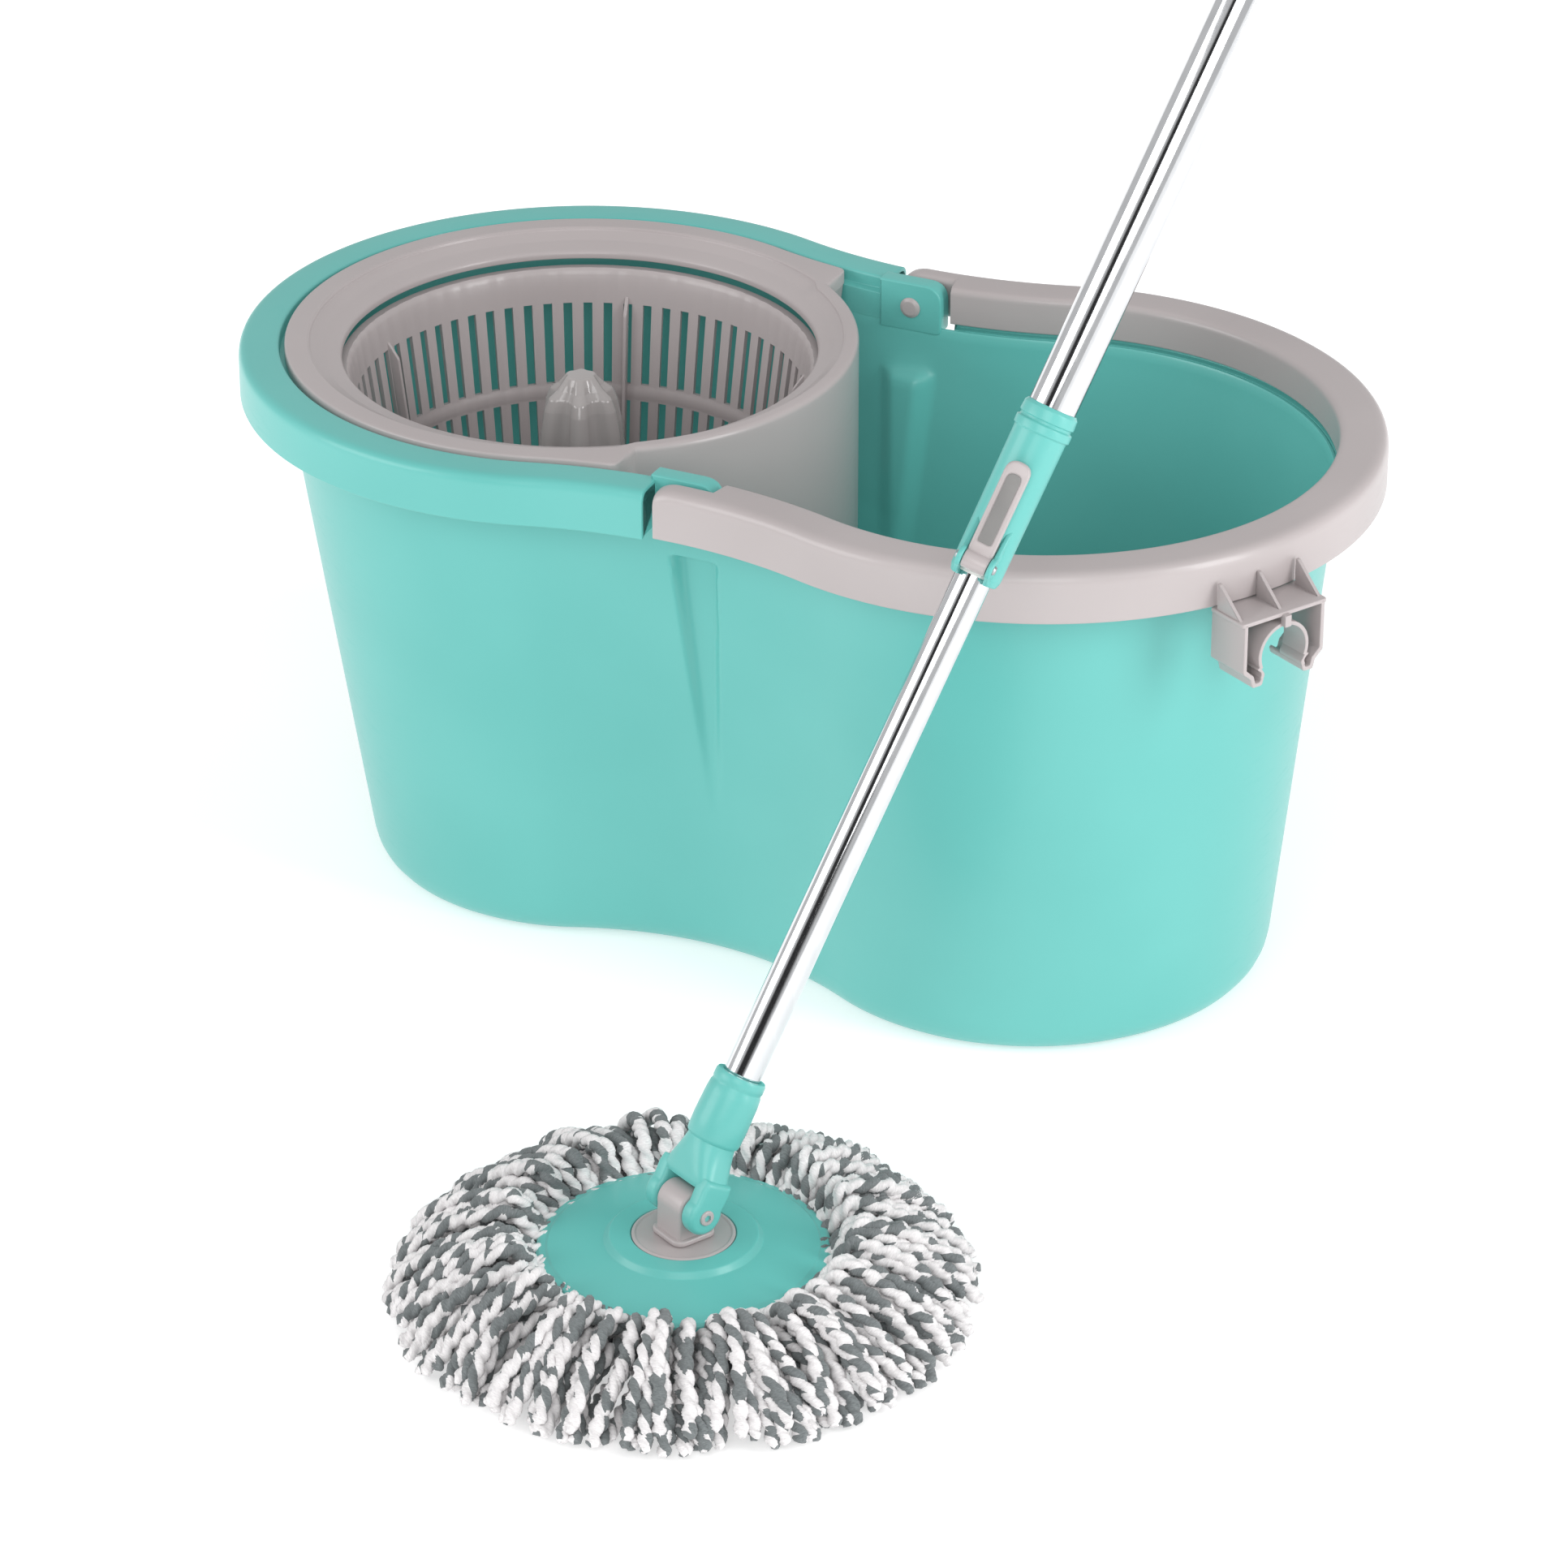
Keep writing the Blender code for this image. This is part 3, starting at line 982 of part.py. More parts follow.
def build_lever(finishes, parent):
    """Cam lever about its pin, closed flat against the collar, with a darker inlay in its face."""
    half = LEVER_WIDTH / 2
    back = COLLAR_RADIUS + 0.5 - LEVER_PIN_REACH
    front = back + LEVER_SKIN
    cam = 4.0
    tip = LEVER_LENGTH
    outline = arc(0, 0, cam, 200, 360, 8) + [(front, 6), (front, tip - 3), (front - 1.2, tip), (back + 1, tip),
                                             (back, tip - 2), (back, 8), (-cam + 0.4, 2.5)]
    lever = add_object("lock_lever", extrude_outline(outline, -half, half, "Y"), finishes["grey"], parent)
    inlay_half, low, high = LEVER_WIDTH * 0.32, 9.0, tip - 6
    recess = box((front - 1.2, -inlay_half - SEAT_GAP, low - SEAT_GAP),
                 (front + 3, inlay_half + SEAT_GAP, high + SEAT_GAP))
    bore = turn_profile([(0, -half - 3), (LEVER_PIN_RADIUS + SEAT_GAP, -half - 3),
                         (LEVER_PIN_RADIUS + SEAT_GAP, half + 3), (0, half + 3)])
    moved(bore, Matrix.Rotation(math.pi / 2, 4, "X"))
    combine(lever, add_object("recess", merge(recess, bore), finishes["grey"], parent), "DIFFERENCE")
    inlay = box((front - 1.2 + SEAT_GAP, -inlay_half, low), (front - 0.1, inlay_half, high))
    add_object("lever_inlay", inlay, finishes["dark"], parent)


def twisted_bar():
    """Square bar whose section turns once in every lead, worked out step by step."""
    steps = round((BAR_END - BAR_START) / BAR_LEAD * 10)
    loops = []
    for i in range(steps + 1):
        height = BAR_START + (BAR_END - BAR_START) * i / steps
        turn = 2 * math.pi * (height - BAR_START) / BAR_LEAD
        half_diagonal = BAR_SIDE / math.sqrt(2)
        loops.append([(half_diagonal * math.cos(turn + k * math.pi / 2),
                       half_diagonal * math.sin(turn + k * math.pi / 2), height) for k in range(4)])
    bm = skin_loops(bmesh.new(), loops, closed_path=False, cap_ends=True)
    bmesh.ops.triangulate(bm, faces=bm.faces)
    return bm


def build_drive(finishes, lower, upper, nut_frame):
    """Tubes, guide, clutch housing, nut and twisted bar: what turns a push into a spin."""
    bar_bore = BAR_SIDE / math.sqrt(2) + RUN_GAP
    lower_in = LOWER_TUBE_RADIUS - TUBE_WALL
    upper_in = UPPER_TUBE_RADIUS - TUBE_WALL
    lower_tube = tube_profile(lower_in, LOWER_TUBE_RADIUS, LOWER_TUBE_START, LOWER_TUBE_END)
    upper_tube = tube_profile(upper_in, UPPER_TUBE_RADIUS, UPPER_TUBE_START, UPPER_TUBE_END)
    add_object("lower_tube", turn_profile(lower_tube, segments=FINE_ROUND), finishes["chrome"], lower)
    add_object("upper_tube", turn_profile(upper_tube, segments=FINE_ROUND), finishes["chrome"], upper)
    guide = tube_profile(LOWER_TUBE_RADIUS + SEAT_GAP, upper_in - SEAT_GAP,
                         LOWER_TUBE_END - 25, LOWER_TUBE_END - 5)
    add_object("guide_bush", turn_profile(guide), finishes["white"], lower)
    flange = LOWER_TUBE_END + SEAT_GAP
    nut_low = flange + 2 + SEAT_GAP
    nut_high = nut_low + NUT_LENGTH
    cup_in = NUT_RADIUS + SEAT_GAP
    stem, cup = lower_in - SEAT_GAP, upper_in - SEAT_GAP
    housing = [(bar_bore, LOWER_TUBE_END - 16), (stem, LOWER_TUBE_END - 16), (stem, flange), (cup, flange),
               (cup, nut_high + 2), (cup_in, nut_high + 2), (cup_in, flange + 2), (bar_bore, flange + 2)]
    add_object("clutch_housing", turn_profile(housing), finishes["white"], lower)
    nut = tube_profile(bar_bore, NUT_RADIUS, -NUT_LENGTH / 2, NUT_LENGTH / 2)
    add_object("drive_nut", turn_profile(nut), finishes["dark"], nut_frame)
    add_object("spiral_bar", twisted_bar(), finishes["steel"], upper)
    anchor_low = BAR_END - ANCHOR_LENGTH / 2
    anchor_high = anchor_low + ANCHOR_LENGTH
    anchor = [(bar_bore, anchor_low), (cup, anchor_low), (cup, anchor_high), (0, anchor_high),
              (0, BAR_END + SEAT_GAP), (bar_bore, BAR_END + SEAT_GAP)]
    add_object("bar_anchor", turn_profile(anchor), finishes["white"], upper)


def build_grip(finishes, parent):
    """Sleeve at the top of the pole and the cap that it hangs from."""
    bore = UPPER_TUBE_RADIUS + SEAT_GAP
    grip = [(bore, GRIP_START), (GRIP_RADIUS - 1.4, GRIP_START), (GRIP_RADIUS, GRIP_START + 5),
            (GRIP_RADIUS, GRIP_END - 4), (GRIP_RADIUS - 0.8, GRIP_END), (bore, GRIP_END)]
    add_object("grip", turn_profile(grip), finishes["teal"], parent)
    low, high = GRIP_END + SEAT_GAP, GRIP_END + CAP_LENGTH
    cap = [(0, low), (GRIP_RADIUS - 0.8, low), (GRIP_RADIUS - 0.8, low + 12), (GRIP_RADIUS - 3, high - 4),
           (GRIP_RADIUS - 6, high - 0.8), (0, high)]
    body = add_object("hanging_cap", turn_profile(cap), finishes["grey"], parent)
    hole = turn_profile([(0, -20), (CAP_HOLE_RADIUS, -20), (CAP_HOLE_RADIUS, 20), (0, 20)], segments=24)
    moved(hole, Matrix.Translation((0, 0, high - 14)) @ Matrix.Rotation(math.pi / 2, 4, "X"))
    combine(body, add_object("hole", hole, finishes["grey"], parent), "DIFFERENCE")


# ---- assembly ---------------------------------------------------------------------------------

def main():
    for obj in list(bpy.data.objects):
        bpy.data.objects.remove(obj)
    finishes = {
        "teal": finish("teal plastic", 119, 198, 191, 0.34),
        "grey": finish("warm grey plastic", 190, 184, 182, 0.36),
        "pale": finish("glossy grey plastic", 196, 192, 190, 0.18),
        "dark": finish("dark grey plastic", 128, 126, 124, 0.42),
        "white": finish("white plastic", 226, 226, 222, 0.4),
        "chrome": finish("polished chrome", 205, 207, 210, 0.1, 1.0),
        "steel": finish("steel", 176, 178, 180, 0.3, 1.0),
        "brass": finish("brass", 196, 166, 96, 0.35, 1.0),
        "yarn": finish("grey and white microfibre yarn", 190, 192, 192, 0.9),
    }
    basket_axis = add_empty("basket_axis", (-HALF_SPACING, 0, 0))
    handle_axis = add_empty("handle_axis", (0, 0, PIVOT_HEIGHT))
    build_bucket(finishes["teal"])
    build_ring(finishes["grey"])
    build_basket(finishes["grey"], basket_axis)
    build_drive_boss(finishes["pale"], basket_axis)
    build_spindle_parts(finishes["steel"], finishes["brass"], finishes["white"],
                        add_empty("spindle_foot", (-HALF_SPACING, 0, 0)), basket_axis)
    build_handle(finishes["grey"], handle_axis)
    build_pole_clip(finishes["grey"], handle_axis)
    build_handle_pin("handle_pin_front", -1, finishes["grey"], handle_axis)
    build_handle_pin("handle_pin_back", 1, finishes["grey"], handle_axis)

    head_axis = add_empty("head_axis", (HEAD_X, HEAD_Y, 0), turn=POLE_HEADING)
    tilt_axis = add_empty("tilt_axis", (HEAD_X, HEAD_Y, TILT_HEIGHT), turn=POLE_HEADING, lean=POLE_LEAN)
    lock_frame = add_empty("lock_frame", (0, 0, 0), turn=LEVER_TURN, parent=tilt_axis)
    lever_pin = (LEVER_PIN_REACH, 0, COLLAR_START + LEVER_PIN_RISE)
    lever_axis = add_empty("lever_axis", lever_pin, parent=lock_frame)
    nut_centre = LOWER_TUBE_END + 2 * SEAT_GAP + 2 + NUT_LENGTH / 2
    nut_axis = add_empty("nut_axis", (0, 0, nut_centre), parent=tilt_axis)
    build_head(finishes, head_axis)
    build_knuckle(finishes, head_axis)
    build_yoke(finishes, tilt_axis)
    build_drive(finishes, tilt_axis, tilt_axis, nut_axis)
    build_collar(finishes, lock_frame)
    build_lever(finishes, lever_axis)
    build_grip(finishes, tilt_axis)


main()
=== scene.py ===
import math
import random

import bmesh
import bpy
from mathutils import Matrix, Vector, noise


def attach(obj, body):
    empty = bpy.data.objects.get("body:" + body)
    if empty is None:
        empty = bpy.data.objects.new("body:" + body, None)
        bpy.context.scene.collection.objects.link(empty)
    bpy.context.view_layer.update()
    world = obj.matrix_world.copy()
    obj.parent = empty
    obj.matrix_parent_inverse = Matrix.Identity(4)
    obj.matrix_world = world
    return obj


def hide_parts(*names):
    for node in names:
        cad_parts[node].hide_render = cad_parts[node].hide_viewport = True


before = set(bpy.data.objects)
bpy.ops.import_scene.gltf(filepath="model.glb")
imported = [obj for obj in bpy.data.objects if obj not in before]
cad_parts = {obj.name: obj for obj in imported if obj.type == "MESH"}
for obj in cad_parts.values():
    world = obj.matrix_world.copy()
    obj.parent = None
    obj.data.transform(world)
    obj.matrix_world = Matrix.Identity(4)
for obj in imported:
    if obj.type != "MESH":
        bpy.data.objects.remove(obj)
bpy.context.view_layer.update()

random.seed(11)
mm = 0.001  # every size below is in millimetres, in the bucket's own frame
print("frame loaded:", len(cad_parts), "nodes")


# ---- shader helpers: a wire is a socket that can be used in sums

class Wire:
    def __init__(self, finish, socket):
        self.finish, self.socket = finish, socket

    def maths(self, operation, first, second):
        return self.finish.add("ShaderNodeMath", {"operation": operation}, {0: first, 1: second})

    def __add__(self, other):
        return self.maths("ADD", self, other)

    def __sub__(self, other):
        return self.maths("SUBTRACT", self, other)

    def __rsub__(self, other):
        return self.maths("SUBTRACT", other, self)

    def __mul__(self, other):
        return self.maths("MULTIPLY", self, other)

    __radd__ = __add__
    __rmul__ = __mul__


class Finish:
    def __init__(self, name):
        self.material = bpy.data.materials.new(name)
        self.material.use_nodes = True
        self.tree = self.material.node_tree
        self.shader = self.tree.nodes["Principled BSDF"]

    def add(self, kind, settings=None, inputs=None, output=0):
        node = self.tree.nodes.new(kind)
        for key, value in (settings or {}).items():
            if key == "stops":
                stops = node.color_ramp.elements
                while len(stops) < len(value):
                    stops.new(0.5)
                for stop, (place, colour) in zip(stops, value):
                    stop.position, stop.color = place, colour
            else:
                setattr(node, key, value)
        for key, value in (inputs or {}).items():
            self.feed(node.inputs[key], value)
        return Wire(self, node.outputs[output])

    def feed(self, socket, value):
        if isinstance(value, Wire):
            self.tree.links.new(value.socket, socket)
        else:
            socket.default_value = value

    def surface(self, **sockets):
        for name, value in sockets.items():
            self.feed(self.shader.inputs[name.replace("_", " ")], value)

    def place(self, output=3):  # output 3 is the object's own frame
        return self.add("ShaderNodeTexCoord", output=output)

    def cloud(self, scale, detail=2.0, stretch=(1, 1, 1), place=None):
        place = place or self.place()
        if stretch != (1, 1, 1):
            place = self.add("ShaderNodeMapping", None, {"Vector": place, "Scale": stretch})
        return self.add("ShaderNodeTexNoise", None, {"Vector": place, "Scale": scale, "Detail": detail})

    def between(self, share, first, second):
        return self.add("ShaderNodeMix", {"data_type": "RGBA"}, {0: share, 6: first, 7: second}, output=2)

    def steps(self, value, *stops):
        grey = [(place, (shade, shade, shade, 1)) for place, shade in stops]
        return self.add("ShaderNodeValToRGB", {"stops": grey}, {0: value})

    def bump(self, height, strength, distance):
        return self.add("ShaderNodeBump", None, {"Height": height, "Strength": strength, "Distance": distance})


def colour(red, green, blue):  # display values from 0 to 255
    def linear(value):
        value /= 255
        return value / 12.92 if value <= 0.04045 else ((value + 0.055) / 1.055) ** 2.4
    return linear(red), linear(green), linear(blue), 1


def mouldedPlastic(name, look):
    f = Finish(name)
    broad = f.cloud(look["patch"])
    grain = f.cloud(look["grain"], 3)
    scuffs = f.steps(f.cloud(70, 4, (1, 1, 7)), (0.56, 0), (0.7, 1))
    tone = f.between(f.steps(broad, (0.3, 0), (0.7, 1)), colour(*look["low"]), colour(*look["high"]))
    f.surface(Base_Color=tone, Emission_Color=tone,
              Roughness=broad * 0.08 + scuffs * look["scuff"] + (look["roughness"] - 0.04),
              Normal=f.bump(grain, look["bump"], 0.0002))
    f.shader.inputs["IOR"].default_value = 1.47
    f.shader.inputs["Coat Weight"].default_value = look.get("coat", 0.0)
    f.shader.inputs["Coat Roughness"].default_value = 0.12
    f.shader.inputs["Emission Strength"].default_value = look.get("paintedGlow", 0.0)  # painted light: the plastic glows a little by itself, which brightens its shaded inside as light through the thin wall would
    return f.material


def metal(name, look):
    f = Finish(name)
    lines = f.cloud(look["lines"], 4, look["stretch"])
    f.surface(Base_Color=f.between(lines, colour(*look["low"]), colour(*look["high"])),
              Roughness=lines * look["spread"] + look["roughness"],
              Normal=f.bump(lines, look["bump"], 0.0001))
    f.shader.inputs["Metallic"].default_value = 1.0
    return f.material


def yarnFinish(name, look):  # the mesh's "yarn" map runs along a strand; its "tone" map holds each ply's shade
    f = Finish(name)
    strand = f.add("ShaderNodeUVMap", {"uv_map": "yarn"})
    tone = f.add("ShaderNodeSeparateXYZ", None, {0: f.add("ShaderNodeUVMap", {"uv_map": "tone"})})
    fibres = f.cloud(1.0, 4, (9, 40, 1), strand)
    fluff = f.cloud(700, 5)
    ragged = tone + (fluff - 0.5) * 0.35 + (fibres - 0.5) * 0.3
    grey = f.between(f.steps(fibres, (0.3, 0), (0.7, 1)), colour(*look["grey"]), colour(*look["paleGrey"]))
    white = f.between(f.steps(fibres, (0.3, 0), (0.7, 1)), colour(*look["dull"]), colour(*look["white"]))
    f.surface(Base_Color=f.between(f.steps(ragged, (0.47, 0), (0.53, 1)), white, grey), Roughness=fluff * 0.1 + 0.82,
              Normal=f.bump(fibres * 0.6 + fluff * 0.4, 0.6, 0.0006))
    f.shader.inputs["Sheen Weight"].default_value = 0.2
    f.shader.inputs["Sheen Roughness"].default_value = 0.6
    f.shader.inputs["Specular IOR Level"].default_value = 0.15
    return f.material


finishes = {
    # the teal plastic glows a little: painted light that brightens its shaded inside
    "teal": mouldedPlastic("tealPlastic", {"low": (88, 168, 162), "high": (95, 174, 168), "patch": 9, "grain": 1500,
                                           "roughness": 0.36, "scuff": 0.05, "bump": 0.05, "coat": 0.12,
                                           "paintedGlow": 0.14}),
    "grey": mouldedPlastic("warmGreyPlastic", {"low": (170, 162, 162), "high": (178, 170, 170), "patch": 9,
                                               "grain": 1500, "roughness": 0.34, "scuff": 0.05, "bump": 0.05,
                                               "coat": 0.15}),
    "pale": mouldedPlastic("glossyGreyPlastic", {"low": (160, 155, 154), "high": (170, 165, 164), "patch": 12,
                                                 "grain": 1200, "roughness": 0.14, "scuff": 0.03, "bump": 0.02,
                                                 "coat": 0.5}),
    "dark": mouldedPlastic("darkGreyPlastic", {"low": (116, 115, 114), "high": (132, 130, 128), "patch": 30,
                                               "grain": 1600, "roughness": 0.45, "scuff": 0.08, "bump": 0.12}),
    "white": mouldedPlastic("whitePlastic", {"low": (218, 218, 214), "high": (230, 230, 227), "patch": 20,
                                             "grain": 1400, "roughness": 0.42, "scuff": 0.06, "bump": 0.08}),
    "chrome": metal("polishedChrome", {"low": (212, 214, 217), "high": (232, 233, 235), "lines": 260,
                                       "stretch": (1, 1, 0.05), "roughness": 0.05, "spread": 0.07, "bump": 0.02}),
    "steel": metal("turnedSteel", {"low": (158, 160, 162), "high": (190, 192, 194), "lines": 900,
                                   "stretch": (0.2, 0.2, 1), "roughness": 0.24, "spread": 0.16, "bump": 0.08}),
    "brass": metal("turnedBrass", {"low": (184, 152, 84), "high": (206, 176, 108), "lines": 700,
                                   "stretch": (0.2, 0.2, 1), "roughness": 0.28, "spread": 0.14, "bump": 0.08}),
}
finishes["yarn"] = yarnFinish("chenilleYarn", {"dull": (214, 211, 212), "white": (240, 238, 238),
                                               "grey": (98, 104, 105), "paleGrey": (128, 133, 134)})
print("finishes made")


# ---- mesh helpers

def fillet(corners, steps=5, closed=True):  # corners are (a, b, radius); a radius of 0 stays sharp
    points = []
    for i, (a, b, radius) in enumerate(corners):
        here = Vector((a, b))
        if radius <= 0 or (not closed and i in (0, len(corners) - 1)):
            points.append((a, b))
            continue
        back = Vector(corners[i - 1][:2]) - here
        ahead = Vector(corners[(i + 1) % len(corners)][:2]) - here
        half = max(back.angle(ahead, math.pi) / 2, 0.05)
        cut = min(radius / math.tan(half), 0.49 * back.length, 0.49 * ahead.length) if half < 1.56 else 0.0
        start, end = here + back.normalized() * cut, here + ahead.normalized() * cut
        for k in range(steps + 1):
            share = k / steps
            points.append(tuple(start * (1 - share) ** 2 + here * 2 * share * (1 - share) + end * share ** 2))
    return points


def arcPoints(a, b, radius, start, end, steps):
    angles = [math.radians(start + (end - start) * i / steps) for i in range(steps + 1)]
    return [(a + radius * math.cos(angle), b + radius * math.sin(angle)) for angle in angles]


def inset(outline, distance):  # moves every point of a closed outline inward
    count = len(outline)
    area = sum(outline[i - 1][0] * outline[i][1] - outline[i][0] * outline[i - 1][1] for i in range(count))
    side = 1 if area > 0 else -1
    moved = []
    for i in range(count):
        here = Vector(outline[i])
        back, ahead = here - Vector(outline[i - 1]), Vector(outline[(i + 1) % count]) - here
        if back.length < 1e-6 or ahead.length < 1e-6:
            back = ahead = back if back.length > ahead.length else ahead
        first = Vector((-back.y, back.x)).normalized() * side
        second = Vector((-ahead.y, ahead.x)).normalized() * side
        normal = first + second
        normal = normal.normalized() if normal.length > 1e-6 else first
        moved.append(tuple(here + normal * distance / max(normal.dot(first), 0.5)))
    return moved


def skin(bm, loops, ring=False, caps=True):
    rows = [[bm.verts.new(point) for point in loop] for loop in loops]
    count = len(rows[0])
    for first, second in zip(rows, rows[1:] + (rows[:1] if ring else [])):
        for i in range(count):
            j = (i + 1) % count
            bm.faces.new((first[i], first[j], second[j], second[i]))
    if caps and not ring:
        bm.faces.new(rows[0])
        bm.faces.new(rows[-1])
    return bm


def turned(profile, segments=72, radiusAt=None, centre=(0, 0)):
    bm = bmesh.new()
    rings = []
    for radius, height in profile:
        if radius < 1e-6:
            rings.append([bm.verts.new((*centre, height))])
            continue
        ring = []
        for i in range(segments):
            angle = 2 * math.pi * i / segments
            reach = radiusAt(radius, height, angle) if radiusAt else radius
            ring.append(bm.verts.new((centre[0] + reach * math.cos(angle), centre[1] + reach * math.sin(angle),
                                      height)))
        rings.append(ring)
    for first, second in zip(rings, rings[1:] + rings[:1]):
        if len(first) == len(second) == 1:
            continue
        for i in range(segments):
            j = (i + 1) % segments
            corners = [first[i % len(first)], first[j % len(first)], second[j % len(second)], second[i % len(second)]]
            bm.faces.new(list(dict.fromkeys(corners)))
    return bm


def prism(outline, low, high, axis="Z", edge=0.5, steps=3):  # both ends get a rounded edge
    lay = {"X": lambda a, b, h: (h, a, b), "Y": lambda a, b, h: (a, h, b), "Z": lambda a, b, h: (a, b, h)}[axis]
    turns = [math.pi / 2 * k / steps for k in range(steps + 1)] if edge else []
    first = [(low + edge * (1 - math.cos(turn)), edge * (1 - math.sin(turn))) for turn in turns] or [(low, 0.0)]
    last = [(high - (h - low), d) for h, d in reversed(first)]
    loops = [[lay(a, b, height) for a, b in (inset(outline, depth) if depth > 1e-6 else outline)]
             for height, depth in first + last]
    return skin(bmesh.new(), loops)


def joined(*parts):
    whole = bmesh.new()
    for part in parts:
        mesh = bpy.data.meshes.new("part")
        part.to_mesh(mesh)
        part.free()
        whole.from_mesh(mesh)
        bpy.data.meshes.remove(mesh)
    return whole


def shifted(bm, matrix):
    bmesh.ops.transform(bm, matrix=matrix, verts=bm.verts)
    return bm


def cutAway(solid, tool):  # an exact Boolean, returned as a new bmesh
    objects = []
    for name, bm in (("solid", solid), ("tool", tool)):
        bmesh.ops.recalc_face_normals(bm, faces=bm.faces)
        mesh = bpy.data.meshes.new(name)
        bm.to_mesh(mesh)
        bm.free()
        objects.append(linked(name, mesh))
    step = objects[0].modifiers.new("cut", "BOOLEAN")
    step.operation, step.solver, step.object = "DIFFERENCE", "EXACT", objects[1]
    bpy.context.view_layer.update()
    mesh = bpy.data.meshes.new_from_object(objects[0].evaluated_get(bpy.context.evaluated_depsgraph_get()))
    result = bmesh.new()
    result.from_mesh(mesh)
    for obj in objects:
        bpy.data.objects.remove(obj)
    return result


def linked(name, data):
    obj = bpy.data.objects.new(name, data)
    bpy.context.scene.collection.objects.link(obj)
    return obj


def addPiece(name, bm, slotName, body, nodes, place=None, sharp=35):
    bmesh.ops.remove_doubles(bm, verts=bm.verts, dist=0.0005)
    bmesh.ops.dissolve_degenerate(bm, dist=0.0005, edges=bm.edges)
    bmesh.ops.recalc_face_normals(bm, faces=bm.faces)
    if place:
        bmesh.ops.transform(bm, matrix=place, verts=bm.verts)
    bmesh.ops.scale(bm, verts=bm.verts, vec=(mm, mm, mm))
    mesh = bpy.data.meshes.new(name)
    bm.to_mesh(mesh)
    bm.free()
    mesh.materials.append(finishes[slotName])
    mesh.shade_smooth()
    mesh.set_sharp_from_angle(angle=math.radians(sharp))
    obj = linked(name, mesh)
    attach(obj, body)
    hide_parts(*nodes)


def smooth(value):
    value = min(max(value, 0.0), 1.0)
    return value * value * (3 - 2 * value)


# ---- the bucket's two-lobed outline; a station is a lobe or a waist and how far along it

shell = {"spacing": 228.0, "topRadius": 134.5, "spinBase": 99.0, "washBase": 110.5, "topHollow": 240.0,
         "baseHollow": 157.0, "wallHeight": 236.0, "wall": 2.0, "floor": 2.4, "rimReach": 21.5, "top": 260.0,
         "ledge": 254.0, "bandEnd": -14.2, "pivot": 250.0, "lugEnd": 15.5, "lugDrop": 12.0,
         "lugReach": 7.0, "fluteTop": 219.0, "fluteFoot": 83.0, "fluteWide": 10.0, "fluteDeep": 6.5}
halfSpacing = shell["spacing"] / 2


def outlineSizes(height):
    share = min(height / shell["wallHeight"], 1.0)
    return (shell["spinBase"] + share * (shell["topRadius"] - shell["spinBase"]),
            shell["washBase"] + share * (shell["topRadius"] - shell["washBase"]),
            shell["baseHollow"] + share * (shell["topHollow"] - shell["baseHollow"]))


def hollowCentre(spin, wash, hollow):
    x = ((spin + hollow) ** 2 - (wash + hollow) ** 2) / (4 * halfSpacing)
    return x, math.sqrt((spin + hollow) ** 2 - (x + halfSpacing) ** 2)


def outlinePoint(station, height, reach):
    place, share = station
    spin, wash, hollow = outlineSizes(height)
    x, y = hollowCentre(spin, wash, hollow)
    spinSide, washSide = math.atan2(y, x + halfSpacing), math.atan2(y, x - halfSpacing)
    if place == "spin":
        angle = spinSide + share * 2 * (math.pi - spinSide)
        return -halfSpacing + (spin + reach) * math.cos(angle), (spin + reach) * math.sin(angle), height
    if place == "wash":
        angle = -washSide + share * 2 * washSide
        return halfSpacing + (wash + reach) * math.cos(angle), (wash + reach) * math.sin(angle), height
    along = share if place == "front" else 1 - share
    start, end = spinSide - math.pi, washSide - math.pi
    angle = start + along * (end - start)
    side = -1 if place == "front" else 1
    return x + (hollow - reach) * math.cos(angle), side * (y + (hollow - reach) * math.sin(angle)), height


def hollowShare(x):  # how far along the front waist a given x lies, at the rim
    span = math.asin(halfSpacing / (shell["topRadius"] + shell["topHollow"]))
    return 0.5 + math.asin(x / shell["topHollow"]) / (2 * span)


def waistHalf():
    return hollowCentre(*outlineSizes(shell["wallHeight"]))[1] - shell["topHollow"]


def waistRun(first, last, step):  # shares along the front waist from x first to x last
    count = max(1, round((last - first) / step))
    return [hollowShare(first + (last - first) * i / count) for i in range(count + 1)]


def evenRun(first, last, count):
    return [first + (last - first) * i / count for i in range(count + 1)]


def lobe(place, count=104):
    return [(place, i / count) for i in range(count + 1)]


def fluteDepth(x, height, soft):
    share = (height - shell["fluteFoot"]) / (shell["fluteTop"] - shell["fluteFoot"])
    if not 0 < share < 1.04:
        return 0.0
    half = 1.5 + min(share, 1) * (shell["fluteWide"] - 1.5)
    side = smooth((half + soft - abs(x)) / (2 * soft))
    return shell["fluteDeep"] * min(share, 1) * side * smooth((shell["fluteTop"] + soft * 0.6 - height) / (1.2 * soft))


def rimSweep(stations, profile, cut=0.7):
    loops = []
    for k, station in enumerate(stations):
        fromEnd = min(k, len(stations) - 1 - k)
        outline = inset(profile, cut * (1 - fromEnd / 2) ** 2) if fromEnd < 2 else profile
        loops.append([outlinePoint(station, height, reach) for reach, height in outline])
    return skin(bmesh.new(), loops)


